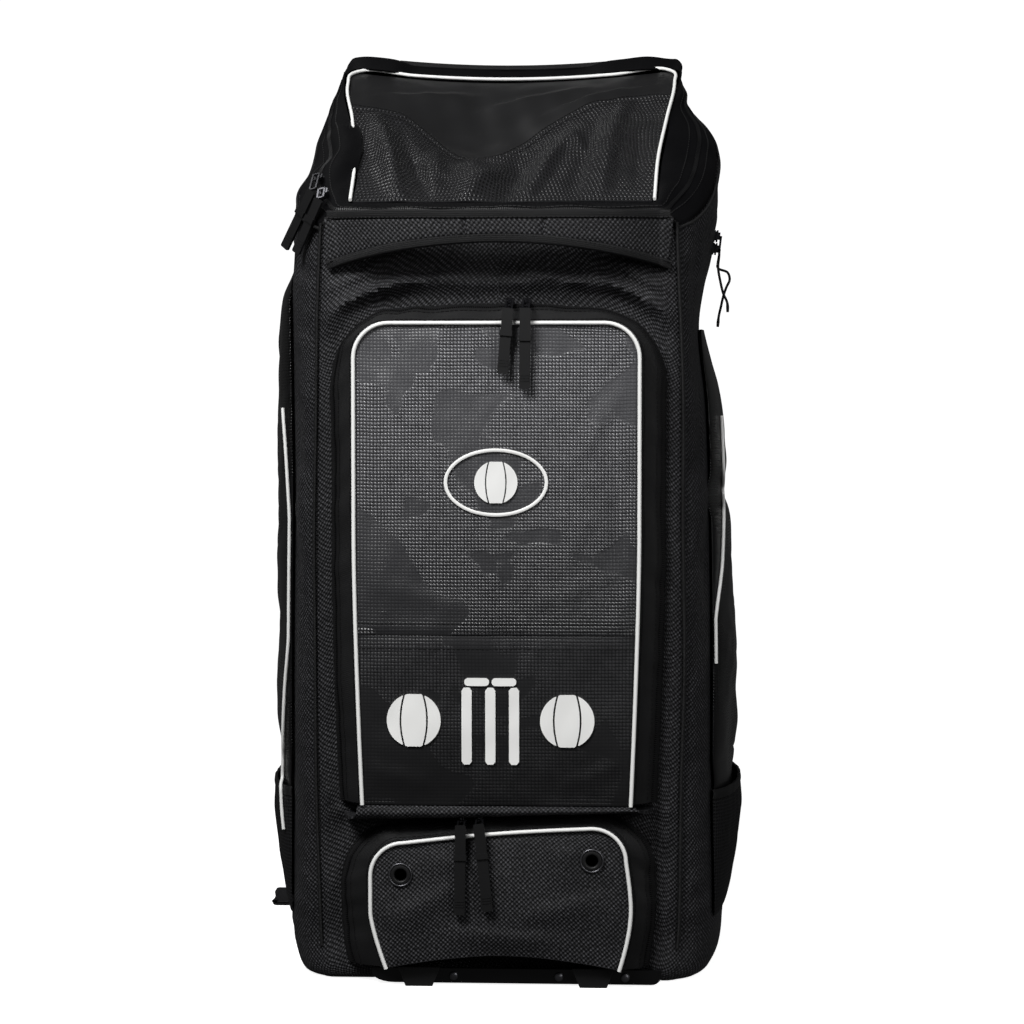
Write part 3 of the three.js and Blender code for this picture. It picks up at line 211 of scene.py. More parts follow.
def ease_curve(path: Grid, places: Grid, at: Grid) -> Grid:
    """A Catmull-Rom curve through the points of a path."""
    turns = np.gradient(path, places, axis=0)
    i = np.clip(np.searchsorted(places, at, side="right") - 1, 0, len(places) - 2)
    step = (places[i + 1] - places[i])[:, None]
    t = (at - places[i])[:, None] / step
    return (
        (2 * t**3 - 3 * t**2 + 1) * path[i]
        + (t**3 - 2 * t**2 + t) * step * turns[i]
        + (3 * t**2 - 2 * t**3) * path[i + 1]
        + (t**3 - t**2) * step * turns[i + 1]
    )


# ---------------------------------------------------------------- meshes


def to_object(name: str, points: Grid, faces: list[list[int]], marks: Grid | None = None) -> bpy.types.Object:
    """Makes an object from points in millimetres, with a UV map in metres.

    Args:
        name: the piece's name.
        points: its points.
        faces: its faces, seen anticlockwise from outside.
        marks: UV of each face corner in millimetres, in the faces' order.

    Returns:
        The new object, at the origin.
    """
    mesh = bpy.data.meshes.new(name)
    mesh.from_pydata((points * MM).tolist(), [], faces)
    if marks is not None:
        layer = mesh.uv_layers.new(name="cloth")
        layer.data.foreach_set("uv", (marks * MM).astype(np.float32).ravel())
    mesh.polygons.foreach_set("use_smooth", [True] * len(mesh.polygons))
    mesh.update()
    made = bpy.data.objects.new(name, mesh)
    bpy.context.scene.collection.objects.link(made)
    return made


def crisp(made: bpy.types.Object, degrees: float = 42) -> bpy.types.Object:
    """Marks the edges that turn more than an angle as sharp."""
    shape = bmesh.new()
    shape.from_mesh(made.data)
    for edge in shape.edges:
        edge.smooth = len(edge.link_faces) != 2 or edge.calc_face_angle(0) < math.radians(degrees)
    shape.to_mesh(made.data)
    shape.free()
    return made


def spread(grid: Grid, wrap: bool) -> tuple[Grid, Grid]:
    """Lengths across and up a grid, as its cloth would measure them flat."""
    closed = np.concatenate([grid, grid[:, :1]], 1) if wrap else grid
    across = np.linalg.norm(np.diff(closed, axis=1), axis=2)
    u = np.concatenate([np.zeros((len(grid), 1)), np.cumsum(across, 1)], 1)
    u -= u[:, -1:] / 2
    up = np.linalg.norm(np.diff(closed, axis=0), axis=2)
    v = np.concatenate([np.zeros((1, closed.shape[1])), np.cumsum(up, 0)], 0)
    return u, v


def wall(name: str, grid: Grid, thickness: float, wrap: bool = False, floor: bool = False) -> bpy.types.Object:
    """A closed wall of cloth behind a grid of points.

    Args:
        name: the piece's name.
        grid: rows by columns by 3, rows up and columns right, seen from outside.
        thickness: how far the inner skin lies behind it.
        wrap: the columns close into a ring.
        floor: the first row is closed by a fan.

    Returns:
        The new object.
    """
    rows, columns = grid.shape[:2]
    inner = grid - normals_of(grid, wrap) * thickness
    points = np.concatenate([grid.reshape(-1, 3), inner.reshape(-1, 3)])
    u, v = spread(grid, wrap)
    last = columns if wrap else columns - 1
    faces, marks = [], []

    def add(i: Grid, j: Grid, corners: Sequence[tuple[int, int, int]]) -> None:
        """Adds the quads whose corners lie at the given steps of row, column and skin."""
        ids = [skin * rows * columns + (i + di) * columns + (j + dj) % columns for di, dj, skin in corners]
        faces.append(np.stack(ids, 1))
        marks.append(np.stack([np.stack([u[i + di, j + dj], v[i + di, j + dj]], 1) for di, dj, _ in corners], 1))

    i, j = (part.ravel() for part in np.meshgrid(np.arange(rows - 1), np.arange(last), indexing="ij"))
    add(i, j, [(0, 0, 0), (0, 1, 0), (1, 1, 0), (1, 0, 0)])
    add(i, j, [(0, 0, 1), (1, 0, 1), (1, 1, 1), (0, 1, 1)])
    j = np.arange(last)
    add(np.full(last, rows - 1), j, [(0, 0, 0), (0, 1, 0), (0, 1, 1), (0, 0, 1)])
    if not floor:
        add(np.zeros(last, int), j, [(0, 0, 0), (0, 0, 1), (0, 1, 1), (0, 1, 0)])
    if not wrap:
        i = np.arange(rows - 1)
        add(i, np.zeros(rows - 1, int), [(0, 0, 1), (0, 0, 0), (1, 0, 0), (1, 0, 1)])
        add(i, np.full(rows - 1, last), [(0, 0, 0), (0, 0, 1), (1, 0, 1), (1, 0, 0)])
    faces = np.concatenate(faces).tolist()
    marks = np.concatenate(marks).reshape(-1, 2)
    if floor:
        ring = list(range(columns))
        faces.append(ring[::-1])
        faces.append([rows * columns + k for k in ring])
        marks = np.concatenate([marks, grid[0, ::-1, :2], grid[0, :, :2]])
    return crisp(to_object(name, points, faces, marks))


def skin(name: str, rings: Grid, degrees: float = 50) -> bpy.types.Object:
    """A closed solid lofted through rings of points, with flat ends.

    Args:
        name: the piece's name.
        rings: rings by points by 3, each ring anticlockwise seen from the end that the rings run to.
        degrees: edges that turn more are sharp.

    Returns:
        The new object.
    """
    rows, columns = rings.shape[:2]
    u, v = spread(rings, True)
    i, j = (part.ravel() for part in np.meshgrid(np.arange(rows - 1), np.arange(columns), indexing="ij"))
    corners = [(0, 0), (0, 1), (1, 1), (1, 0)]
    faces = np.stack([(i + di) * columns + (j + dj) % columns for di, dj in corners], 1).tolist()
    marks = np.stack([np.stack([u[i + di, j + dj], v[i + di, j + dj]], 1) for di, dj in corners], 1).reshape(-1, 2)
    faces.append(list(range(columns))[::-1])
    faces.append([(rows - 1) * columns + k for k in range(columns)])
    ends = np.zeros((2 * columns, 2))
    return crisp(to_object(name, rings.reshape(-1, 3), faces, np.concatenate([marks, ends])), degrees)


def frames_of(path: Grid, out: Grid | None = None) -> tuple[Grid, Grid]:
    """Side and out directions along a path, carried along it or turned to the given out directions."""
    tangents = np.gradient(path, axis=0)
    tangents /= np.linalg.norm(tangents, axis=1, keepdims=True)
    if out is None:
        out = np.zeros_like(path)
        hold = unit(np.cross(tangents[0], [0.31, 0.53, 0.79]))
        for k, tangent in enumerate(tangents):
            hold = unit(hold - tangent * hold.dot(tangent))
            out[k] = hold
    out = out - tangents * (out * tangents).sum(1, keepdims=True)
    out /= np.linalg.norm(out, axis=1, keepdims=True)
    return np.cross(tangents, out), out


def rod(name: str, path: Grid, radius: float | Grid, sides: int = 10) -> bpy.types.Object:
    """A round rod along a path, with a radius that may change along it."""
    across, out = frames_of(path)
    turns = np.linspace(0, 2 * math.pi, sides, endpoint=False)
    radius = np.broadcast_to(radius, len(path))[:, None, None]
    ring = np.cos(turns)[None, :, None] * out[:, None] - np.sin(turns)[None, :, None] * across[:, None]
    return skin(name, (path[:, None] + radius * ring)[:, ::-1])


def pad(name: str, path: Grid, out: Grid, half: float | Grid, thick: float | Grid, power: float = 0.45,
        sides: int = 28) -> bpy.types.Object:
    """A flat rounded band along a path, such as padding or webbing.

    Args:
        name: the piece's name.
        path: its middle line.
        out: direction of its face at each point.
        half: half of its width.
        thick: half of its thickness.
        power: 1 for an oval section, near 0 for a square one.
        sides: points round the section.

    Returns:
        The new object.
    """
    across, out = frames_of(path, out)
    turns = np.linspace(0, 2 * math.pi, sides, endpoint=False) + math.pi / sides
    cos, sin = np.cos(turns), np.sin(turns)
    wide = np.sign(cos) * np.abs(cos) ** power
    deep = np.sign(sin) * np.abs(sin) ** power
    half = np.broadcast_to(half, len(path))[:, None, None]
    thick = np.broadcast_to(thick, len(path))[:, None, None]
    rings = path[:, None] + half * wide[None, :, None] * across[:, None] + thick * deep[None, :, None] * out[:, None]
    return skin(name, rings)


class Shaper:
    """Builds a hard piece out of bevelled prisms and turned shapes."""

    def __init__(self) -> None:
        """Starts an empty shape."""
        self.shape = bmesh.new()

    def prism(self, outline: Sequence[tuple[float, float]], low: float, high: float, place: Matrix | None = None,
              bevel: float = 0.4, segments: int = 2) -> "Shaper":
        """Adds a plate with rounded edges.

        Args:
            outline: its corners, anticlockwise, in its own x and y.
            low: its lower face, in its own z.
            high: its upper face.
            place: where its own axes lie.
            bevel: radius of its edges.
            segments: steps of the rounding.

        Returns:
            The shaper itself.
        """
        lower = [self.shape.verts.new((x, y, low)) for x, y in outline]
        upper = [self.shape.verts.new((x, y, high)) for x, y in outline]
        faces = [self.shape.faces.new(lower[::-1]), self.shape.faces.new(upper)]
        for k in range(len(outline)):
            after = (k + 1) % len(outline)
            faces.append(self.shape.faces.new((lower[k], lower[after], upper[after], upper[k])))
        made = set(lower + upper)
        if bevel:
            edges = list({edge for face in faces for edge in face.edges if edge.calc_face_angle(0) > 0.5})
            result = bmesh.ops.bevel(self.shape, geom=edges, offset=bevel, segments=segments, profile=0.5,
                                     affect="EDGES", clamp_overlap=True)
            made = {vert for vert in made if vert.is_valid} | set(result["verts"])
        if place is not None:
            bmesh.ops.transform(self.shape, matrix=place, verts=list(made))
        return self

    def box(self, low: Sequence[float], high: Sequence[float], place: Matrix | None = None,
            bevel: float = 0.4, segments: int = 2) -> "Shaper":
        """Adds a box with rounded edges."""
        corners = [(low[0], low[1]), (high[0], low[1]), (high[0], high[1]), (low[0], high[1])]
        return self.prism(corners, low[2], high[2], place, bevel, segments)

    def lathe(self, profile: Sequence[tuple[float, float]], place: Matrix | None = None,
              steps: int = 32) -> "Shaper":
        """Adds a turned shape whose profile of radius and height closes on itself or ends on the axis."""
        rings = []
        for k in range(steps):
            turn = 2 * math.pi * k / steps
            rings.append([self.shape.verts.new((r * math.cos(turn), r * math.sin(turn), h)) for r, h in profile])
        made = [vert for ring in rings for vert in ring]
        for k in range(steps):
            here, after = rings[k], rings[(k + 1) % steps]
            for a in range(len(profile) - 1):
                self.shape.faces.new((here[a], after[a], after[a + 1], here[a + 1]))
        bmesh.ops.remove_doubles(self.shape, verts=made, dist=1e-4)
        made = [vert for vert in made if vert.is_valid]
        faces = list({face for vert in made for face in vert.link_faces})
        bmesh.ops.recalc_face_normals(self.shape, faces=faces)
        if place is not None:
            bmesh.ops.transform(self.shape, matrix=place, verts=made)
        return self

    def finish(self, name: str, degrees: float = 35) -> bpy.types.Object:
        """Turns the shape into an object in metres."""
        self.shape.normal_update()
        for face in self.shape.faces:
            face.smooth = True
        for edge in self.shape.edges:
            edge.smooth = edge.calc_face_angle(0) < math.radians(degrees)
        self.shape.transform(Matrix.Scale(MM, 4))
        mesh = bpy.data.meshes.new(name)
        self.shape.to_mesh(mesh)
        self.shape.free()
        made = bpy.data.objects.new(name, mesh)
        bpy.context.scene.collection.objects.link(made)
        return made


def lay(place: Sequence[float], down: Sequence[float], out: Sequence[float]) -> Matrix:
    """Axes of a small part: its z points against down, and its -y points out of what it lies on."""
    z = Vector(down).normalized() * -1
    x = (Vector(out) * -1).cross(z).normalized()
    y = z.cross(x)
    axes = Matrix((x, y, z)).transposed().to_4x4()
    return Matrix.Translation(Vector(place)) @ axes


# ---------------------------------------------------------------- shader nodes and finishes


def linear(shade: str) -> tuple[float, float, float, float]:
    """Turns an sRGB hex colour into linear values."""
    parts = [int(shade[k:k + 2], 16) / 255 for k in (0, 2, 4)]
    return (*(p / 12.92 if p <= 0.04045 else ((p + 0.055) / 1.055) ** 2.4 for p in parts), 1.0)


def add(tree: bpy.types.NodeTree, kind: str, sockets: dict | None = None, **settings: object) -> bpy.types.Node:
    """Adds a node with its settings, values and links.

    Args:
        tree: the tree that it joins.
        kind: the node's type.
        sockets: by name or number, the value of an input or the socket that feeds it.
        settings: the node's own properties.

    Returns:
        The node.
    """
    node = tree.nodes.new(kind)
    for name, value in settings.items():
        setattr(node, name, value)
    for key, value in (sockets or {}).items():
        if isinstance(value, bpy.types.NodeSocket):
            tree.links.new(value, node.inputs[key])
        else:
            node.inputs[key].default_value = value
    return node


def maths(tree: bpy.types.NodeTree, operation: str, *values: object) -> bpy.types.NodeSocket:
    """Result of a mathematical operation on sockets and numbers."""
    return add(tree, "ShaderNodeMath", dict(enumerate(values)), operation=operation).outputs[0]


def blend(tree: bpy.types.NodeTree, share: object, low: str, high: str) -> bpy.types.NodeSocket:
    """Colour between two sRGB hex values."""
    sockets = {"Factor": share, "A": linear(low), "B": linear(high)}
    node = tree.nodes.new("ShaderNodeMix")
    node.data_type = "RGBA"
    for key, value in sockets.items():
        socket = next(s for s in node.inputs if s.name == key and s.enabled)
        if isinstance(value, bpy.types.NodeSocket):
            tree.links.new(value, socket)
        else:
            socket.default_value = value
    return next(s for s in node.outputs if s.enabled)


@dataclass(frozen=True)
class Finish:
    """What a piece is made of: a named material with its own shader nodes."""

    name: str
    shade: str
    light: str
    slot: str
    roughness: float = 0.8
    metallic: float = 0.0
    sheen: float = 0.0
    coat: float = 0.0
    gleam: float = 0.5

    def material(self) -> bpy.types.Material:
        """The material, made once."""
        made = bpy.data.materials.get(self.name)
        if made:
            return made
        made = bpy.data.materials.new(self.name)
        made.use_nodes = True
        tree = made.node_tree
        shader = tree.nodes["Principled BSDF"]
        shader.inputs["Base Color"].default_value = linear(self.shade)
        shader.inputs["Roughness"].default_value = self.roughness
        shader.inputs["Metallic"].default_value = self.metallic
        shader.inputs["Specular IOR Level"].default_value = self.gleam
        shader.inputs["Sheen Weight"].default_value = self.sheen
        shader.inputs["Sheen Roughness"].default_value = 0.4
        shader.inputs["Coat Weight"].default_value = self.coat
        shader.inputs["Coat Roughness"].default_value = 0.25
        self.dress(tree, shader)
        return made

    def dress(self, tree: bpy.types.NodeTree, shader: bpy.types.Node) -> None:
        """Adds the surface's own pattern: here a faint unevenness of shade and height."""
        where = add(tree, "ShaderNodeTexCoord").outputs["Object"]
        dust = add(tree, "ShaderNodeTexNoise", {"Vector": where, "Scale": 60.0, "Detail": 4.0}).outputs[0]
        tree.links.new(blend(tree, dust, self.shade, self.light), shader.inputs["Base Color"])
        fine = add(tree, "ShaderNodeTexNoise", {"Vector": where, "Scale": 900.0, "Detail": 2.0}).outputs[0]
        raised = add(tree, "ShaderNodeBump", {"Height": fine, "Strength": 0.15, "Distance": 0.0002}).outputs[0]
        tree.links.new(raised, shader.inputs["Normal"])


def cloth_place(tree: bpy.types.NodeTree) -> tuple[bpy.types.NodeSocket, bpy.types.NodeSocket, bpy.types.NodeSocket]:
    """The cloth's own UV map in metres: the vector, and its two parts in millimetres."""
    where = add(tree, "ShaderNodeUVMap", uv_map="cloth").outputs[0]
    parts = add(tree, "ShaderNodeSeparateXYZ", {0: where})
    return where, maths(tree, "MULTIPLY", parts.outputs[0], 1000.0), maths(tree, "MULTIPLY", parts.outputs[1], 1000.0)


@dataclass(frozen=True)
class WovenFinish(Finish):
    """Plain weave of a given thread pitch: threads over and under, with paler flecks in the yarn and painted highlight
    on their crowns.
    """

    pitch: float = 2.0
    depth: float = 0.35
    fleck: float = 0.8

    def dress(self, tree: bpy.types.NodeTree, shader: bpy.types.Node) -> None:
        """Draws the threads as bump, and as colour: painted highlight on the crowns, painted shade between them, and
        paler yarn flecks.
        """
        where, u, v = cloth_place(tree)
        rate = 2 * math.pi / self.pitch
        warp = maths(tree, "SINE", maths(tree, "MULTIPLY", u, rate))
        weft = maths(tree, "SINE", maths(tree, "MULTIPLY", v, rate))
        crown = maths(tree, "MULTIPLY_ADD", maths(tree, "MULTIPLY", warp, weft), 0.5, 0.5)
        yarn = add(tree, "ShaderNodeTexNoise", {"Vector": where, "Scale": 420.0, "Detail": 3.0}).outputs[0]
        patch = add(tree, "ShaderNodeTexNoise", {"Vector": where, "Scale": 18.0, "Detail": 3.0}).outputs[0]
        fleck = add(tree, "ShaderNodeMapRange", {"Value": yarn, "From Min": 0.36, "From Max": 0.66}).outputs[0]
        # Painted highlight and shade: the colour is paler on the threads' crowns and darker between them, times the
        # real flecks and patches of the yarn.
        tint = maths(tree, "MULTIPLY", maths(tree, "POWER", crown, 2.2), maths(tree, "MULTIPLY_ADD", fleck, 0.85, 0.15))
        tint = maths(tree, "MULTIPLY", tint, maths(tree, "MULTIPLY_ADD", patch, 0.8, self.fleck - 0.4))
        tree.links.new(blend(tree, tint, self.shade, self.light), shader.inputs["Base Color"])
        height = maths(tree, "MULTIPLY_ADD", yarn, 0.35, crown)
        raised = add(tree, "ShaderNodeBump", {"Height": height, "Strength": 0.8, "Distance": self.depth * MM})
        tree.links.new(raised.outputs[0], shader.inputs["Normal"])


@dataclass(frozen=True)
class RibbedFinish(Finish):
    """Cloth or webbing with ribs across one direction."""

    pitch: float = 1.6
    depth: float = 0.25
    lengthwise: bool = False

    def dress(self, tree: bpy.types.NodeTree, shader: bpy.types.Node) -> None:
        """Draws the ribs as bump, with a soft unevenness of shade."""
        where, u, v = cloth_place(tree)
        along, across = (v, u) if self.lengthwise else (u, v)
        rib = maths(tree, "SINE", maths(tree, "MULTIPLY", across, 2 * math.pi / self.pitch))
        fill = maths(tree, "SINE", maths(tree, "MULTIPLY", along, 2 * math.pi / (self.pitch * 0.8)))
        patch = add(tree, "ShaderNodeTexNoise", {"Vector": where, "Scale": 35.0, "Detail": 4.0}).outputs[0]
        tree.links.new(blend(tree, patch, self.shade, self.light), shader.inputs["Base Color"])
        height = maths(tree, "MULTIPLY_ADD", maths(tree, "ABSOLUTE", rib), 1.0, maths(tree, "MULTIPLY", fill, 0.25))
        raised = add(tree, "ShaderNodeBump", {"Height": height, "Strength": 0.7, "Distance": self.depth * MM})
        tree.links.new(raised.outputs[0], shader.inputs["Normal"])


@dataclass(frozen=True)
class EmbossedFinish(Finish):
    """Coated cloth embossed with small cells, with painted highlight and shade on the cells, a tonal print of soft
    patches over it and, where rise is set, painted shade darkening it towards the bottom.
    """

    cell: float = 3.0
    stretch: float = 1.0
    depth: float = 0.5
    pitted: bool = False
    # Strength of the painted highlight on the cells.
    spots: float = 0.8
    patch: float = 0.0
    patch_tint: float = 0.4
    patch_size: float = 60.0
    # Height over which painted shade darkens the colour towards the bottom of the panel; 0 for none.
    rise: float = 0.0

    def dress(self, tree: bpy.types.NodeTree, shader: bpy.types.Node) -> None:
        """Draws a square grid of cells as bump and gloss, with painted highlight where the cells stand up and painted
        shade in the gaps and pits, and the smoother print over it.
        """
        where, u, v = cloth_place(tree)
        rate = math.pi / self.cell
        rows = [maths(tree, "ABSOLUTE", maths(tree, "SINE", maths(tree, "MULTIPLY", part, turn)))
                for part, turn in ((u, rate), (v, rate / self.stretch))]
        hump = maths(tree, "MULTIPLY", *rows)
        if self.pitted:
            dome = maths(tree, "SUBTRACT", 1.0, maths(tree, "POWER", hump, 1.6))
        else:
            dome = maths(tree, "POWER", hump, 0.7)
        bent = add(tree, "ShaderNodeTexNoise", {"Vector": where, "Scale": 1000 / self.patch_size, "Detail": 2.5,
                                                "Roughness": 0.55, "Distortion": 0.6}).outputs[0]
        print_edge = add(tree, "ShaderNodeMapRange", {"Value": bent, "From Min": 0.50, "From Max": 0.52}).outputs[0]
        printed = maths(tree, "MULTIPLY", print_edge, self.patch)
        plain = maths(tree, "SUBTRACT", 1.0, printed)
        wear = add(tree, "ShaderNodeTexNoise", {"Vector": where, "Scale": 90.0, "Detail": 4.0}).outputs[0]
        # Painted highlight and shade: the colour is lighter where the cells stand up and darker in the gaps and pits;
        # the noise named wear varies this at random.
        grid = maths(tree, "MULTIPLY", maths(tree, "MULTIPLY", dome, self.spots), maths(tree, "MULTIPLY_ADD", wear, 1.0, 0.5))
        tint = maths(tree, "MULTIPLY_ADD", printed, self.patch_tint, maths(tree, "MULTIPLY", grid, plain))
        # Painted shade: below the height rise the colour darkens towards the panel's bottom, for the light falling off
        # lower down.
        if self.rise:
            up = add(tree, "ShaderNodeMapRange", {"Value": v, "From Max": self.rise, "To Min": 0.25}).outputs[0]
            tint = maths(tree, "MULTIPLY", tint, up)
        tree.links.new(blend(tree, tint, self.shade, self.light), shader.inputs["Base Color"])
        gloss = maths(tree, "MULTIPLY_ADD", maths(tree, "MULTIPLY", dome, plain), -0.14, self.roughness)
        tree.links.new(gloss, shader.inputs["Roughness"])
        height = maths(tree, "MULTIPLY", dome, maths(tree, "MULTIPLY_ADD", plain, 0.8, 0.2))
        raised = add(tree, "ShaderNodeBump", {"Height": height, "Strength": 0.8, "Distance": self.depth * MM})
        tree.links.new(raised.outputs[0], shader.inputs["Normal"])


@dataclass(frozen=True)
class MeshFinish(Finish):
    """Knitted mesh: rows of small open holes, painted darker than the yarn round them as the shade seen through them.
    """

    pitch: float = 3.2
    depth: float = 0.6

    def dress(self, tree: bpy.types.NodeTree, shader: bpy.types.Node) -> None:
        """Draws the holes as bump, with painted shade in them."""
        where, _, _ = cloth_place(tree)
        holes = add(tree, "ShaderNodeTexVoronoi", {"Vector": where, "Scale": 1000 / self.pitch, "Randomness": 0.12})
        # Painted shade: the colour is darker at the holes, for the shadow seen through them.
        yarn = add(tree, "ShaderNodeMapRange", {"Value": holes.outputs[0], "From Min": 0.25, "From Max": 0.5})
        tree.links.new(blend(tree, yarn.outputs[0], self.shade, self.light), shader.inputs["Base Color"])
        raised = add(tree, "ShaderNodeBump", {"Height": yarn.outputs[0], "Strength": 0.9, "Distance": self.depth * MM})
        tree.links.new(raised.outputs[0], shader.inputs["Normal"])


@dataclass(frozen=True)
class GrainFinish(Finish):
    """Coated or moulded surface with a fine pebble grain of a given size."""

    grain: float = 1.0
    depth: float = 0.1

    def dress(self, tree: bpy.types.NodeTree, shader: bpy.types.Node) -> None:
        """Draws the grain as bump, and wear as shade and gloss."""
        where = add(tree, "ShaderNodeTexCoord").outputs["Object"]
        grain = add(tree, "ShaderNodeTexNoise", {"Vector": where, "Scale": 1000 / self.grain, "Detail": 3.0}).outputs[0]
        wear = add(tree, "ShaderNodeTexNoise", {"Vector": where, "Scale": 14.0, "Detail": 5.0}).outputs[0]
        tree.links.new(blend(tree, wear, self.shade, self.light), shader.inputs["Base Color"])
        tree.links.new(maths(tree, "MULTIPLY_ADD", wear, 0.16, self.roughness - 0.08), shader.inputs["Roughness"])
        raised = add(tree, "ShaderNodeBump", {"Height": grain, "Strength": 0.5, "Distance": self.depth * MM})
        tree.links.new(raised.outputs[0], shader.inputs["Normal"])


# Polyester tweed weave: matt, with grey flecks in the yarn, and painted highlight where the yarn crowns would catch the
# light
TWEED = WovenFinish("polyester_tweed_weave", "040405", "66666a", "woven_polyester", 0.6, gleam=0.2, pitch=4.1,
                    depth=0.8, fleck=0.85)
# The same yarn in the handle's coarser weave
HANDLE_WEAVE = WovenFinish("polyester_handle_weave", "060607", "66666a", "woven_polyester", 0.6, gleam=0.22,
                           pitch=4.5, depth=0.9, fleck=0.75)
# Woven polyester tape and lining: smooth, matt, with hardly a rib
LINING = RibbedFinish("polyester_lining", "040405", "08080a", "binding_tape", 0.6, gleam=0.08, pitch=1.1, depth=0.08)
# Ribbed tape on both sides of the pockets' zips
ZIP_TAPE = RibbedFinish("polyester_zip_tape", "0c0c0d", "19191a", "binding_tape", 0.55, gleam=0.3, pitch=2.2, depth=0.3)
BINDING = RibbedFinish("polyester_binding_tape", "0a0a0b", "161617", "binding_tape", 0.58, gleam=0.25, pitch=2.0,
                       depth=0.3)
# Polypropylene webbing: coarse cross ribs with a low shine
WEBBING = RibbedFinish("polypropylene_webbing", "0a0a0b", "1c1c1e", "woven_polyester", 0.5, gleam=0.35, pitch=2.4,
                       depth=0.5)
# Embossed PVC-coated cloth: fine pits in a shiny skin on the lid, raised cells on the pockets, with painted shade in
# the pits and gaps and painted highlight on the raised skin
LID_VINYL = EmbossedFinish("embossed_pvc_lid", "020202", "262628", "embossed_vinyl", 0.34, gleam=0.5, cell=3.6,
                           stretch=1.6, depth=1.1, pitted=True)
# The printed pockets' vinyl: its colour darkens towards each panel's bottom by painted shade (rise).
FACE_VINYL = EmbossedFinish("embossed_pvc_printed", "020203", "7c7c80", "embossed_vinyl", 0.36, cell=3.1, depth=1.0,
                            patch=0.8, patch_tint=0.3, patch_size=95, rise=210)
# The lower panel's copy of the printed vinyl, darker: painted shade for the light falling off lower down the pocket.
SHADED_LOW_VINYL = EmbossedFinish("embossed_pvc_lower", "060607", "3c3c3e", "embossed_vinyl", 0.42, gleam=0.3, cell=3.1,
                           patch=0.8, patch_tint=0.3, patch_size=80, rise=150)
SIDE_VINYL = EmbossedFinish("embossed_pvc_side", "030303", "101011", "embossed_vinyl", 0.38, gleam=0.25, cell=2.8,
                            patch=1.0, patch_tint=1.0, patch_size=70)
# Plain PVC-coated cloth: satin, with a faint leather-like grain
SATIN_VINYL = GrainFinish("satin_pvc_cloth", "101011", "1a1a1b", "satin_vinyl", 0.4, gleam=0.45, grain=1.4, depth=0.07)
# Warp-knitted polyester mesh
BOTTLE_MESH = MeshFinish("polyester_mesh", "040405", "161618", "mesh_fabric", 0.7, gleam=0.2)
# Extruded soft PVC piping and flock-free PVC print: bright, slightly waxy
PIPING_WHITE = GrainFinish("white_pvc_piping", "f1f1ef", "f8f8f6", "white_trim", 0.38, grain=2.2, depth=0.03)
PRINT_WHITE = GrainFinish("white_pvc_print", "efefed", "f7f7f5", "white_trim", 0.45, grain=0.9, depth=0.06)
# Injection-moulded ABS: glossy, with a skin that hardly scatters
ABS = GrainFinish("glossy_abs", "060607", "0a0a0b", "moulded_plastic", 0.2, gleam=0.4, grain=3.0, depth=0.02)
# Moulded soft rubber: dull black with a powdery bloom
RUBBER = GrainFinish("moulded_rubber", "0c0c0d", "131314", "black_rubber", 0.5, gleam=0.35, grain=0.7, depth=0.05)
# Die-cast zinc under black lacquer
ZINC = GrainFinish("lacquered_zinc", "38383b", "55555a", "dark_metal", 0.26, 0.9, grain=1.6, depth=0.03)
# Black nickel plate on steel: grey and soft, worn brighter in places
NICKEL = GrainFinish("black_nickel_plate", "4a4a4d", "747478", "bright_metal", 0.38, 1.0, grain=4.0, depth=0.01)
# Bonded polyester thread
THREAD = Finish("polyester_thread", "0f0f10", "1a1a1b", "binding_tape", 0.55, gleam=0.3)
# Coil of the zips: nylon monofilament, a little glossy
NYLON = Finish("nylon_zip_coil", "0c0c0d", "141415", "binding_tape", 0.42, gleam=0.35)
# Thin braided cord
BRAID = GrainFinish("braided_cord", "0f0f10", "1a1a1b", "black_rubber", 0.7, gleam=0.3, grain=0.8, depth=0.2)


def present(made: bpy.types.Object, finish: Finish, *nodes: str) -> bpy.types.Object:
    """Gives a piece its finish, lets it ride with the bag and reports it.

    Args:
        made: the piece.
        finish: what it is made of.
        nodes: the solids that it stands for.

    Returns:
        The piece.
    """
    made.data.materials.clear()
    made.data.materials.append(finish.material())
    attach(made, "root")
    if nodes:
        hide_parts(*nodes)
    log.info("%s: %d faces, %s", made.name, len(made.data.polygons), finish.name)
    return made


# ---------------------------------------------------------------- what repeats along a line


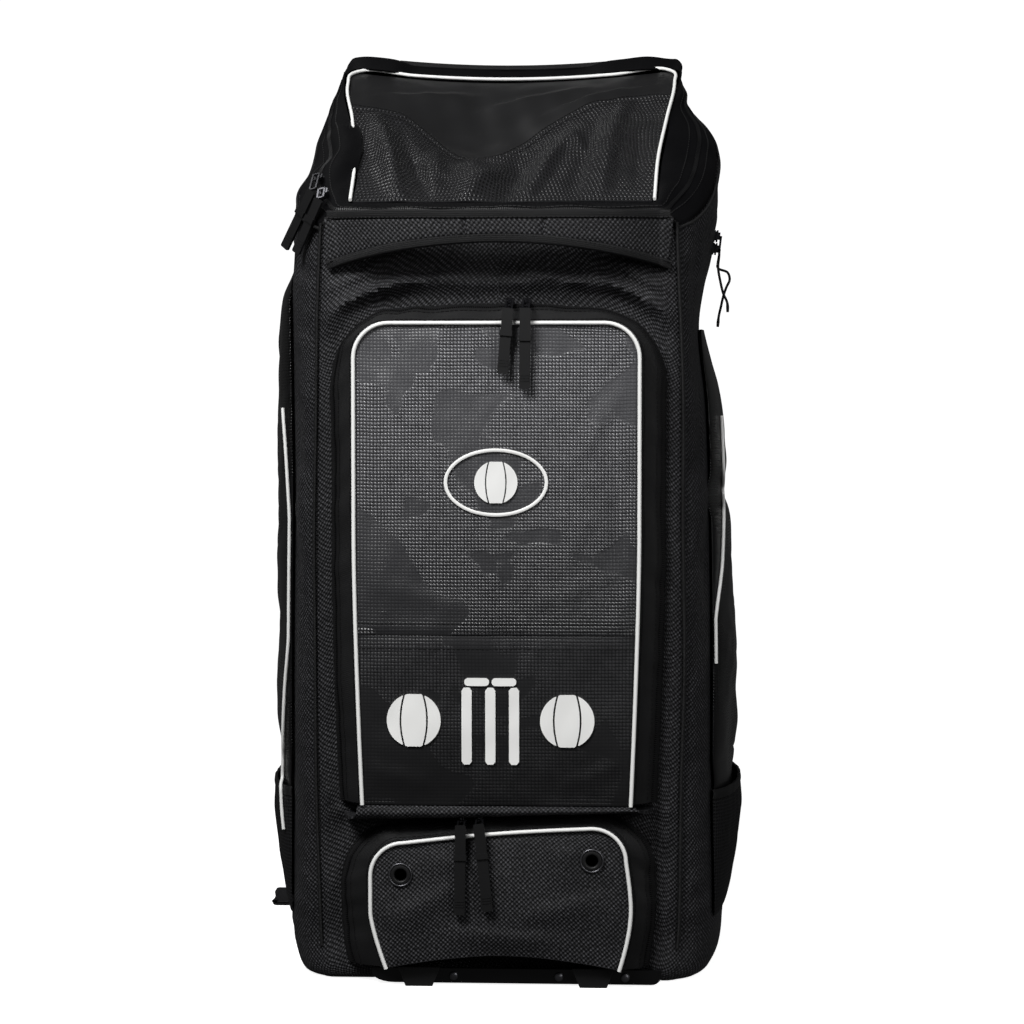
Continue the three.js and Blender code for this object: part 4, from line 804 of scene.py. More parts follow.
@dataclass
class Repeat:
    """Copies of one small shape at an even pitch along lines, made by Geometry Nodes."""

    name: str
    pitch: float
    jitter: float = 0.0
    seed: int = 3
    lines: list[tuple[Grid, Grid]] = field(default_factory=list)

    def follow(self, path: Grid, out: Grid) -> None:
        """Adds a line and the direction that each of its points faces."""
        self.lines.append((np.asarray(path, float), np.asarray(out, float)))

    def tree(self) -> bpy.types.GeometryNodeTree:
        """The node tree: resample the lines, set a copy at each point, realize, set the material."""
        tree = bpy.data.node_groups.new(self.name, "GeometryNodeTree")
        face = tree.interface
        face.new_socket("Geometry", in_out="INPUT", socket_type="NodeSocketGeometry")
        for label, kind in (("Pitch", "Float"), ("Jitter", "Float"), ("Seed", "Int"), ("Item", "Object"),
                            ("Finish", "Material")):
            face.new_socket(label, in_out="INPUT", socket_type=f"NodeSocket{kind}")
        face.new_socket("Geometry", in_out="OUTPUT", socket_type="NodeSocketGeometry")
        given = add(tree, "NodeGroupInput").outputs
        curve = add(tree, "GeometryNodeMeshToCurve", {"Mesh": given["Geometry"]}).outputs[0]
        even = add(tree, "GeometryNodeResampleCurve", {"Curve": curve, "Length": given["Pitch"]}, mode="LENGTH")
        out = add(tree, "GeometryNodeInputNamedAttribute", {"Name": "out"}, data_type="FLOAT_VECTOR").outputs[0]
        tangent = add(tree, "GeometryNodeInputTangent").outputs[0]
        turn = add(tree, "FunctionNodeAxesToRotation", {0: out, 1: tangent}, primary_axis="Z", secondary_axis="X")
        low = add(tree, "ShaderNodeMath", {0: 1.0, 1: given["Jitter"]}, operation="SUBTRACT").outputs[0]
        high = add(tree, "ShaderNodeMath", {0: 1.0, 1: given["Jitter"]}, operation="ADD").outputs[0]
        size = add(tree, "FunctionNodeRandomValue", {2: low, 3: high, "Seed": given["Seed"]}, data_type="FLOAT")
        item = add(tree, "GeometryNodeObjectInfo", {"Object": given["Item"]}).outputs["Geometry"]
        copies = add(tree, "GeometryNodeInstanceOnPoints", {
            "Points": even.outputs[0], "Instance": item, "Rotation": turn.outputs[0], "Scale": size.outputs[1]})
        real = add(tree, "GeometryNodeRealizeInstances", {0: copies.outputs[0]}).outputs[0]
        dressed = add(tree, "GeometryNodeSetMaterial", {"Geometry": real, "Material": given["Finish"]}).outputs[0]
        add(tree, "NodeGroupOutput", {"Geometry": dressed})
        return tree

    def build(self, item: bpy.types.Object, finish: Finish, *nodes: str) -> bpy.types.Object:
        """Makes the copies one plain mesh.

        Args:
            item: the small shape, which is used up.
            finish: what the copies are made of.
            nodes: the solids that they stand for.

        Returns:
            The new piece.
        """
        points, edges, outs = [], [], []
        for path, out in self.lines:
            start = sum(len(part) for part in points)
            points.append(path)
            outs.append(np.broadcast_to(out, path.shape))
            edges += [(start + k, start + k + 1) for k in range(len(path) - 1)]
        mesh = bpy.data.meshes.new(self.name)
        mesh.from_pydata((np.concatenate(points) * MM).tolist(), edges, [])
        attribute = mesh.attributes.new("out", "FLOAT_VECTOR", "POINT")
        attribute.data.foreach_set("vector", np.concatenate(outs).astype(np.float32).ravel())
        guide = bpy.data.objects.new(self.name + "_guide", mesh)
        bpy.context.scene.collection.objects.link(guide)
        modifier = guide.modifiers.new("repeat", "NODES")
        modifier.node_group = self.tree()
        values = {"Pitch": self.pitch * MM, "Jitter": self.jitter, "Seed": self.seed, "Item": item,
                  "Finish": finish.material()}
        for entry in modifier.node_group.interface.items_tree:
            if entry.in_out == "INPUT" and entry.name in values:
                modifier[entry.identifier] = values[entry.name]
        graph = bpy.context.evaluated_depsgraph_get()
        plain = bpy.data.meshes.new_from_object(guide.evaluated_get(graph), depsgraph=graph)
        plain.name = self.name
        guide.modifiers.clear()
        made = bpy.data.objects.new(self.name, plain)
        bpy.context.scene.collection.objects.link(made)
        bpy.data.objects.remove(guide)
        bpy.data.objects.remove(item)
        return present(made, finish, *nodes)


def bead(name: str, length: float, width: float, height: float) -> bpy.types.Object:
    """A small rounded bar along x, for a stitch or a zip tooth."""
    return Shaper().box((-length / 2, -width / 2, -height / 2), (length / 2, width / 2, height / 2),
                        bevel=min(width, height) * 0.36, segments=1).finish(name)


# ---------------------------------------------------------------- the bag's main form

# Widths of the body from the floor up, as shares of its height, half-width and panel
BODY_ROWS = np.array([
    # up, left, right, panel
    (0.000, 0.945, 0.970, 0.950), (0.014, 0.975, 1.000, 0.955), (0.031, 0.995, 1.010, 0.965),
    (0.061, 1.000, 1.010, 0.975), (0.200, 0.990, 0.990, 0.990), (0.350, 0.985, 0.985, 1.000),
    (0.506, 0.975, 0.970, 0.995), (0.600, 0.980, 0.945, 0.990), (0.690, 0.985, 0.893, 0.980),
    (0.735, 0.990, 0.918, 0.970), (0.760, 0.985, 0.945, 0.965), (0.787, 0.975, 0.965, 0.958),
    (0.824, 0.955, 0.980, 0.950), (0.857, 0.940, 0.980, 0.950), (0.887, 0.925, 0.960, 0.950),
    (0.909, 0.895, 0.920, 0.950), (0.932, 0.865, 0.870, 0.945), (0.952, 0.835, 0.825, 0.940),
    (0.985, 0.830, 0.820, 0.935),
])

# Half of the body's plan, from the middle of the front round to the middle of the back
PLAN = np.array([
    # panel, side, depth, mouth, slope, roll
    (0.00, 0.00, -1.00, 0.00, 0.00, 0.0), (0.33, 0.00, -1.00, 0.34, 0.00, 0.0),
    (0.66, 0.00, -1.00, 0.68, 0.00, 0.0), (0.94, 0.00, -1.00, 0.97, 0.00, 0.0),
    (1.00, 0.00, -0.98, 1.00, 0.03, 0.0), (1.00, 0.35, -0.90, 1.00, 0.12, 0.0),
    (1.00, 0.68, -0.72, 1.00, 0.22, 0.0), (1.00, 0.88, -0.42, 1.00, 0.36, 0.0),
    (1.00, 0.97, -0.08, 1.00, 0.52, 0.1), (1.00, 1.00, 0.25, 1.00, 0.68, 0.2),
    (1.00, 0.98, 0.55, 1.00, 0.83, 0.4), (1.00, 0.85, 0.80, 1.00, 0.96, 0.7),
    (1.00, 0.45, 0.95, 0.96, 1.00, 1.0), (0.78, 0.00, 1.00, 0.76, 1.00, 1.0),
    (0.40, 0.00, 1.00, 0.40, 1.00, 1.0), (0.00, 0.00, 1.00, 0.00, 1.00, 1.0),
])
CORNER = 4  # column of the plan that lies on the front corner seam

# How far the lid's sides bow: place along, left and right, as shares of its half-width
LID_SIDES = np.array([
    # along, left, right
    (0.00, 0.979, 1.012), (0.20, 0.950, 0.992), (0.30, 0.956, 0.986), (0.52, 0.972, 0.990), (0.57, 0.978, 0.993),
    (0.75, 1.010, 1.004), (0.80, 1.018, 1.004), (0.91, 1.016, 1.003), (1.00, 1.010, 1.006),
])


@dataclass
class BodyForm:
    """The bag's main form: the woven walls, the gusset above them and the lid."""

    height: float = 858
    half: float = 203
    panel: float = 165
    depth: float = 150
    lift: float = 5
    rounding: float = 12
    front_top: float = 676
    back_top: float = 842
    lid_front_rise: float = 700
    lid_back_rise: float = 845
    lid_front_reach: float = 138
    lid_back_reach: float = 110
    lid_front_half: float = 137
    lid_back_half: float = 160
    lid_sag: float = 28
    rim_sag: float = 11
    rim_roll: float = 28
    stand: float = 4
    edge: float = 4.2

    def plan(self, t: Grid) -> Grid:
        """The plan's values at places between its columns."""
        return ease(np.arange(len(PLAN)), PLAN, t)

    def seam_x(self, z: Grid) -> Grid:
        """Middle plane to the front corner seam at a height."""
        return self.panel * ease(BODY_ROWS[:, 0], BODY_ROWS[:, 3], np.asarray(z) / self.height)

    def half_x(self, side: Grid, z: Grid) -> Grid:
        """Middle plane to the widest part of the side at a height."""
        rows = ease(BODY_ROWS[:, 0], BODY_ROWS[:, 1:3], np.asarray(z) / self.height)
        return self.half * np.where(np.asarray(side) < 0, rows[..., 0], rows[..., 1])

    def point(self, side: Grid, t: Grid, z: Grid) -> Grid:
        """Point of the woven wall at a place of the plan and a height."""
        plan = self.plan(t)
        seam = self.seam_x(z)
        x = seam * plan[..., 0] + (self.half_x(side, z) - seam) * plan[..., 1]
        below = np.clip(self.lift + self.rounding - z, 0, self.rounding)
        inset = self.rounding - np.sqrt(self.rounding**2 - below**2)
        deep = self.depth * plan[..., 2]
        y = deep - np.sign(deep) * np.minimum(inset, np.abs(deep))
        return np.stack(np.broadcast_arrays(side * x, y, z), -1)

    def top(self, t: Grid) -> Grid:
        """Height of the woven wall's upper edge."""
        plan = self.plan(t)
        back = (plan[..., 2] + 1) / 2
        return self.front_top + (self.back_top - self.front_top) * back - self.rim_sag * back**2 * (1 - plan[..., 3]**2)

    def lid_plane(self, across: Grid, along: Grid) -> Grid:
        """Point of the lid's outline plane, across from -1 to 1 and along from front to back."""
        across, along = np.broadcast_arrays(np.asarray(across, float), np.asarray(along, float))
        half = self.lid_front_half + (self.lid_back_half - self.lid_front_half) * along
        bow = ease(LID_SIDES[:, 0], LID_SIDES[:, 1:], np.clip(along, 0, 1))
        half = half * np.where(across < 0, bow[..., 0], bow[..., 1])
        y = -self.lid_front_reach + (self.lid_back_reach + self.lid_front_reach) * along
        z = self.lid_front_rise + (self.lid_back_rise - self.lid_front_rise) * along
        return np.stack([across * half, y, z - self.rim_sag * along**2 * (1 - across**2)], -1)

    def gusset(self, side: Grid, t: Grid, share: Grid) -> Grid:
        """Point of the top gusset, from the end of its upright stretch (0) to the lid's edge (1)."""
        plan = self.plan(t)
        start = self.point(side, t, self.top(t)) + [0, 0, 0.6 + self.stand]
        mouth = self.lid_plane(side * plan[..., 3], plan[..., 4])
        reach = np.hypot(mouth[..., 0], mouth[..., 1])
        mouth[..., :2] *= (1 + self.edge / reach)[..., None]
        bend = start + (mouth - start) * 0.25
        bend[..., 2] = start[..., 2] + (mouth[..., 2] - start[..., 2]) * 0.85 + self.rim_roll * plan[..., 5]
        share = np.asarray(share)[..., None]
        return (1 - share) ** 2 * start + 2 * share * (1 - share) * bend + share**2 * mouth

    def side_x(self, side: int, y: Grid, z: Grid) -> Grid:
        """x of the side wall at a depth and a height."""
        fine = self.plan(np.linspace(CORNER, 12, 200))
        share = np.interp(np.asarray(y) / self.depth, fine[:, 2], fine[:, 1])
        seam = self.seam_x(z)
        return seam + (self.half_x(side, z) - seam) * share

    def around(self, step: float) -> tuple[Grid, Grid]:
        """Sides and places of columns all the way round, about one step apart."""
        fine = np.linspace(0, len(PLAN) - 1, 1501)
        places = along_path(self.point(1, fine, np.full(fine.shape, 300.0)))
        count = int(places[-1] / step)
        t = np.interp(np.linspace(0, places[-1], count + 1), places, fine)
        k = np.argmin(np.abs(t - CORNER))
        t[k] = CORNER
        return (np.concatenate([np.ones(count + 1), -np.ones(count - 1)]), np.concatenate([t, t[-2:0:-1]]))


@dataclass(frozen=True)
class Outline:
    """Outline of an arched pocket: an upright shape with rounded upper corners."""

    bottom: float
    taper: float
    half: float
    left_top: float
    right_top: float
    rounding: float
    top_arch: float = 0.0
    bottom_arch: float = 0.0
    left_inset: float = 0.0
    left_taper: float = 0.0
    right_swell: float = 0.0

    def sides(self, straight: Grid, arc: int) -> tuple[Grid, Grid]:
        """Left and right sides from the bottom up, as x and z.

        Args:
            straight: shares of the straight stretch.
            arc: steps round the upper corner.

        Returns:
            The two sides.
        """
        made = []
        for sign, top in ((-1, self.left_top), (1, self.right_top)):
            start = top - self.rounding
            z = self.bottom + (start - self.bottom) * straight
            share = np.clip((z - self.bottom) / (0.6 * (start - self.bottom)), 0, 1)
            x = self.half - self.taper * (1 - share) ** 1.5
            if sign < 0:
                x = x - self.left_inset - self.left_taper * (1 - share) ** 1.2
            else:
                x = x + self.right_swell * np.sin(math.pi * straight)
            turn = np.linspace(0, math.pi / 2, arc + 1)[1:]
            x = np.concatenate([x, x[-1] - self.rounding * (1 - np.cos(turn))])
            z = np.concatenate([z, start + self.rounding * np.sin(turn)])
            made.append(np.stack([sign * x, z], 1))
        return made[0], made[1]

    def loop(self, straight: Grid, arc: int, across: int, closed: bool = True) -> Grid:
        """The outline anticlockwise seen from the front, from the upper left, or open at the bottom."""
        left, right = self.sides(straight, arc)
        share = np.linspace(0, 1, across + 1)[1:-1, None]
        top = right[-1] + (left[-1] - right[-1]) * share
        top[:, 1] += self.top_arch * np.sin(math.pi * share[:, 0])
        bottom = left[0] + (right[0] - left[0]) * share
        bottom[:, 1] += self.bottom_arch * np.sin(math.pi * share[:, 0])
        if closed:
            return np.concatenate([left[::-1], bottom, right, top])
        return np.concatenate([left, top[::-1], right[::-1]])

    def shrunk(self, inset: float) -> "Outline":
        """The same outline, smaller by an inset at its sides and top."""
        return replace(self, half=self.half - inset, left_top=self.left_top - inset, right_top=self.right_top - inset)

    def away(self, x: Grid, z: Grid) -> Grid:
        """How far a place lies outside the outline, less than 0 inside it."""
        top = (self.left_top + self.right_top) / 2 + self.top_arch
        dx = np.abs(x) - (self.half - self.rounding)
        dz = np.maximum(z - (top - self.rounding), (self.bottom + self.rounding) - z)
        outside = np.hypot(np.maximum(dx, 0), np.maximum(dz, 0))
        return outside + np.minimum(np.maximum(dx, dz), 0) - self.rounding


POCKET_SEAM = Outline(165, 7, 150, 606, 606, 66, top_arch=4)
POCKET_FACE = Outline(165, 7, 128, 594, 594, 31)
SHOE_SEAM = Outline(18, 6, 142, 144, 153, 52, top_arch=2, bottom_arch=13)
SHOE_FACE = Outline(18, 6, 117, 133, 147, 30, top_arch=2, bottom_arch=13, left_inset=3, left_taper=8, right_swell=4.5)


@dataclass
class Trim:
    """The two lines of work that run all over the bag: stitches and zip coils."""

    stitches: Repeat = field(default_factory=lambda: Repeat("seam_stitches", 4.2, 0.08))
    coils: Repeat = field(default_factory=lambda: Repeat("zip_coils", 1.9, 0.03, seed=5))

    def build(self) -> None:
        """Makes all the stitches and all the coils."""
        self.stitches.build(bead("stitch", 3.0, 0.8, 0.7), THREAD)
        self.coils.build(bead("tooth", 1.0, 3.4, 1.2), NYLON)


@dataclass
class BagBody:
    """Woven shell, smooth gusset round the lid and the self-piped front corners."""

    form: BodyForm
    trim: Trim
    column_step: float = 5.0
    piping: float = 1.6
    zip_end: float = 96
    sag: float = 4.6

    creases: tuple[Crease, ...] = (
        Crease((-150, 622), (-96, 650), 7, 6.2), Crease((-152, 604), (-70, 640), 6, 5.4),
        Crease((-120, 618), (-20, 642), 6, 4.3), Crease((150, 618), (100, 648), 7, 6.2),
        Crease((152, 600), (74, 640), 6, 5.4), Crease((110, 620), (10, 640), 6, 4.1),
        Crease((-156, 590), (-153, 470), 4, 3.5), Crease((-150, 500), (-158, 380), 4, 3.0),
        Crease((-158, 400), (-152, 290), 4, 3.2), Crease((-151, 300), (-158, 200), 4, 3.2),
        Crease((157, 590), (152, 480), 4, 3.8), Crease((152, 500), (158, 380), 4, 3.5),
        Crease((158, 400), (152, 280), 4, 3.5), Crease((152, 290), (158, 190), 4, 3.5),
        Crease((-158, 190), (-146, 120), 5, 4.1), Crease((158, 180), (147, 110), 5, 4.1),
        Crease((-160, 130), (-150, 60), 5, 3.5), Crease((160, 120), (151, 50), 5, 3.5),
        Crease((-150, 154), (-90, 158), 4, 2.7), Crease((90, 160), (152, 156), 4, 2.7),
    )

    def tuck(self, grid: Grid) -> Grid:
        """How far the sides are drawn in behind the corners, as a shift in x."""
        x, y, z = grid[..., 0], grid[..., 1], grid[..., 2]
        left = 10.0 * np.exp(-(((z - 744) / 38) ** 2)) + 13.0 * np.exp(-(((z - 652) / 17) ** 2))
        right = 6.0 * np.exp(-(((z - 800) / 13) ** 2))
        return np.where(x < 0, left, -right) * fade(y, -95, -45) * fade(np.abs(x), 120, 170)

    def relief(self, grid: Grid) -> Grid:
        """How far folds stand off the plain form at each point of the wall."""
        x, y, z = grid[..., 0], grid[..., 1], grid[..., 2]
        front = fade(-y, 140, 149)
        away = np.minimum(POCKET_SEAM.away(x, z), SHOE_SEAM.away(x, z))
        clear = fade(away, 1, 8)
        handle = 1 - 0.9 * fade(np.abs(x), 136, 146) * fade(z, 625, 640)
        ridge = 6.5 * np.exp(-(((POCKET_SEAM.away(x, z) - 19) / 7.5) ** 2)) * fade(z, 545, 600)
        panel = ridge + fold(self.creases, x, z) + 0.9 * waves(x, z, 60, 4) + 0.45 * waves(x, z, 22, 5)
        panel = panel * clear * handle
        under_pocket = fade(z, 40, 60) * (1 - fade(z, 655, 672)) * fade(y, -116, -106) * (1 - fade(y, 120, 130))
        sides = (2.2 * waves(y, z, 120, 8) + 0.9 * waves(y, z, 38, 9)) * (1 - under_pocket) * fade(z, 20, 60)
        seam = 1 - fade(np.abs(np.abs(x) - self.form.seam_x(z)) + 40 * (1 - fade(-y, 130, 146)), 2, 12)
        rest = 0.8 * waves(x, z, 130, 12) * fade(y, 135, 149)
        return (front * panel + (1 - front) * (sides * (1 - fade(y, 135, 149)) + rest)) * (1 - seam)

    def shell(self) -> None:
        """Builds the woven wall with its floor."""
        side, t = self.form.around(self.column_step)
        shares = np.concatenate([np.linspace(0, 0.02, 7), np.linspace(0.026, 1, 165)])
        height = self.form.lift + (self.form.top(t) - self.form.lift) * shares[:, None]
        grid = self.form.point(side[None], t[None], height)
        grid += normals_of(grid, True) * self.relief(grid)[..., None]
        grid[..., 0] += self.tuck(grid)
        beside = fade(np.abs(grid[..., 0] - 17), 112, 130) * fade(-grid[..., 1], 60, 135)
        low = 1 - fade(grid[..., 2], 5, 46)
        grid[..., 2] -= self.sag * beside * (1 - fade(grid[..., 2], 5, 20))
        grid[..., 1] -= 6.5 * beside * low
        inward = np.linspace(0.06, 0.97, 8)[:, None, None]
        floor = grid[:1] * np.concatenate([np.broadcast_to(inward, (8, 1, 2)), np.ones((8, 1, 1))], 2)
        made = wall("woven_body", np.concatenate([floor, grid]), CLOTH, wrap=True, floor=True)
        present(made, TWEED, "body_shell")

    def lip(self, side: Grid, t: Grid) -> Grid:
        """How far the gusset's inner edge folds over the lid's piping, all round."""
        slope = self.form.plan(t)[..., 4]
        across = side * self.form.plan(t)[..., 3]
        left = fade(slope, 0.14, 0.26) * (1 - fade(slope, 0.50, 0.62)) * (side < 0)
        back_left = np.exp(-(((across + 0.82) / 0.17) ** 4)) * (slope > 0.97)
        back_right = np.exp(-(((across - 0.70) / 0.22) ** 4)) * (slope > 0.97)
        return np.clip(left + back_left + back_right, 0, 1)

    def gusset(self) -> None:
        """Builds the smooth band between the woven wall and the lid, with its zip."""
        side, t = self.form.around(self.column_step)
        shares = np.linspace(0, 1, 22)[:, None]
        band = self.form.gusset(side[None], t[None], shares)
        foot = band[:1] - [0, 0, self.form.stand]
        grid = np.concatenate([foot, foot + [0, 0, self.form.stand / 2], band])
        rise = np.concatenate([[[0.0], [0.0]], np.sin(math.pi * np.clip(shares, 0, 1)) ** 0.7])
        normals = normals_of(grid, True)
        length = along_path(band[10])
        ripple = waves(length[None], shares * 60, 75, 21) * 2.0 + waves(length[None], shares * 20, 34, 22) * 0.9 - 1.0
        ripple = ripple * (1 - 0.75 * fade(self.form.plan(t)[..., 2], 0.85, 1.0))
        ripple = np.concatenate([np.zeros((2, len(t))), ripple])
        grid = grid + normals * (ripple * rise)[..., None]
        grid[..., 0] += self.tuck(grid)
        over = self.lip(side, t)
        inner = np.concatenate([[[0.0], [0.0]], fade(shares, 0.55, 1.0)])
        middle = grid[:, :, :2] * 0
        middle[..., 1] = -20
        pull = middle - grid[:, :, :2]
        pull /= np.linalg.norm(pull, axis=2, keepdims=True)
        grid[:, :, :2] += pull * (over[None] * inner * 6.8)[..., None]
        grid[:, :, 2] += over[None] * np.concatenate([[[0.0], [0.0]], np.sin(math.pi * fade(shares, 0.4, 1.0) * 0.8)]) * 7
        present(wall("top_gusset_cloth", grid, 1.8, wrap=True), LINING, "top_gusset")
        front_first = np.concatenate([np.arange(len(t) // 2, len(t)), np.arange(len(t) // 2)])
        order = front_first[grid[12, front_first, 1] < self.zip_end]
        self.trim.coils.follow(grid[12, order] + normals[12, order] * 0.5, normals[12, order])
        for row in (8, 16):
            self.trim.stitches.follow(grid[row, order] + normals[row, order] * 0.3, normals[row, order])

    def corner_seams(self) -> None:
        """Builds the thin black piping down both front corners, with a line of stitches beside it."""
        for side in Side:
            z = np.linspace(30, 682, 150)
            path = self.form.point(side.value, np.full(z.shape, CORNER), z)
            path += [side.value * 1.2, -2.1, 0]
            path[:, 0] += 0.5 * np.sin(z / 37)
            made = rod(f"corner_seam_{side.word}", path, self.piping, 10)
            present(made, BINDING, f"corner_piping_{side.word}")
            stitch = self.form.point(side.value, np.full(z.shape, CORNER - 0.22), z) + [0, -0.3, 0]
            self.trim.stitches.follow(stitch, np.broadcast_to([0, -1.0, 0], stitch.shape))

    def rim_seams(self) -> None:
        """Builds the black piping that goes on from the corners along the woven wall's upper edge."""
        for side in Side:
            t = np.linspace(CORNER + 0.12, 13.4, 120)
            path = self.form.point(side.value, t, self.form.top(t) - 1.5)
            away = path[:, :2] / np.linalg.norm(path[:, :2], axis=1, keepdims=True)
            path[:, :2] += away * (self.piping + 0.4)
            path[:, 0] += self.tuck(path)
            made = rod(f"rim_seam_{side.word}", resample(path, 4), self.piping, 10)
            present(made, BINDING)

    def build(self) -> None:
        """Builds every piece of the body."""
        self.rim_seams()
        self.shell()
        self.gusset()
        self.corner_seams()


@dataclass
class Lid:
    """Sloped lid of two vinyl panels, its white piping and the grab loop behind it."""

    form: BodyForm
    trim: Trim
    piping: float = 1.6
    sheet: float = 2.0
    seam_line: tuple[tuple[float, float], ...] = (
        (-1.0, 0.717), (-0.687, 0.706), (-0.493, 0.617), (-0.241, 0.463), (-0.10, 0.490), (0.05, 0.560),
        (0.316, 0.692), (0.556, 0.768), (0.80, 0.798), (1.0, 0.778),
    )

    dents: tuple[tuple[float, float, float, float, float], ...] = (
        (-0.20, 0.62, 0.50, 0.30, -0.90), (-0.74, 0.34, 0.13, 0.34, 0.34), (-0.20, 0.22, 0.12, 0.18, 0.24),
        (0.12, 0.26, 0.11, 0.26, -0.26), (0.58, 0.40, 0.16, 0.36, 0.30),
    )
    creases: tuple[Crease, ...] = (
        Crease((-126, 190), (-88, 2), 11, 9.5), Crease((-104, 180), (-62, 8), 10, -8.0),
        Crease((-64, 146), (-60, 30), 13, 6.5), Crease((-28, 114), (34, 146), 10, 6.0),
        Crease((60, 160), (76, 96), 10, 6.0), Crease((58, 150), (22, 4), 13, 9.0),
        Crease((14, 104), (2, 0), 11, -7.5), Crease((-3, 84), (-32, 2), 12, 6.5),
        Crease((108, 206), (92, 20), 11, 9.0), Crease((84, 190), (66, 8), 10, -7.0),
        Crease((125, 150), (124, 30), 8, -4.5), Crease((-30, 236), (60, 262), 10, 3.4),
        Crease((-126, 240), (-40, 262), 10, 3.6), Crease((40, 222), (124, 252), 10, 3.4),
    )

    def point(self, across: Grid, along: Grid) -> Grid:
        """Point of the lid's surface with its dents and folds."""
        place = self.form.lid_plane(across, along)
        hold = (1 - across**4) * np.sqrt(np.maximum(np.sin(math.pi * along), 0))
        for centre, back, wide, long, rise in self.dents:
            far = ((across - centre) / wide) ** 2 + ((along - back) / long) ** 2
            place[..., 2] += self.form.lid_sag * rise * np.exp(-far) * hold
        slope = along * 288
        fine = fold(self.creases, place[..., 0], slope) + 0.8 * waves(place[..., 0], slope, 46, 31)
        edge = fade(1 - np.abs(across), 0, 0.12) * fade(along, 0, 0.06) * fade(1 - along, 0, 0.06)
        place[..., 2] += fine * edge
        return place

    def seam(self, across: Grid) -> Grid:
        """Where the seam between the two panels runs."""
        line = np.array(self.seam_line)
        return ease(line[:, 0], line[:, 1], across)

    def panels(self) -> None:
        """Builds the embossed lower panel and the plain upper one."""
        inset = 1 - (self.piping + GAP) / self.form.lid_front_half
        across = inset * np.linspace(-1, 1, 101)[None]
        split = GAP / (self.form.lid_back_reach + self.form.lid_front_reach)
        for name, node, low, high, rows, finish in (
            ("lid_panel_embossed", "lid_lower", 0.01, None, 66, LID_VINYL),
            ("lid_panel_plain", "lid_upper", None, 0.99, 40, SATIN_VINYL),
        ):
            share = np.linspace(0, 1, rows)[:, None]
            start = low if low is not None else self.seam(across) + split
            end = high if high is not None else self.seam(across) - split
            grid = self.point(np.broadcast_to(across, (rows, 101)), start + (end - start) * share)
            normals = normals_of(grid)
            if low is not None:
                near = np.exp(-(((1 - share) * 150 / 3.2) ** 2))
                grid = grid + normals * (near * 1.0)[..., None]
                self.trim.stitches.follow(grid[-4] + normals[-4] * 0.3, normals[-4])
            else:
                self.trim.stitches.follow(grid[2] + normals[2] * 0.3, normals[2])
            made = present(wall(name, grid, self.sheet), finish, node)

    def edge_piping(self) -> None:
        """Builds the white piping round the lid, open at the front."""
        raise_by = self.piping + GAP
        route = [(-1, 0.01), (-1, 0.3), (-1, 0.6), (-1, 0.88), (-0.985, 0.96), (-0.93, 0.995), (-0.6, 1), (-0.2, 1),
                 (0.2, 1), (0.6, 1), (0.93, 0.995), (0.985, 0.96), (1, 0.88), (1, 0.6), (1, 0.3), (1, 0.01)]
        path = np.array([self.form.lid_plane(a, b) for a, b in route]) + [0, -raise_by / 2, raise_by]
        present(rod("lid_edge_piping", resample(path, 5), self.piping, 12), PIPING_WHITE, "lid_piping")

    def grab_loop(self) -> None:
        """Builds the flat webbing that lies along the back rim."""
        across = np.linspace(-0.7, 0.6, 60)
        column = np.interp(np.abs(across), [0, 0.40, 0.76, 0.96], [15, 14, 13, 12])
        roll = self.form.gusset(np.sign(across), column, np.linspace(0, 1, 81)[:, None])
        path = roll[np.argmax(roll[..., 2], axis=0), np.arange(60)] + [0, 0, 1.4]
        out = np.broadcast_to([0, -0.35, 1.0], path.shape)
        present(pad("rim_webbing", path, out, 7, 1.1, 0.25, 16), WEBBING, "grab_loop")

    def build(self) -> None:
        """Builds every piece of the lid."""
        self.panels()
        self.edge_piping()
        self.grab_loop()


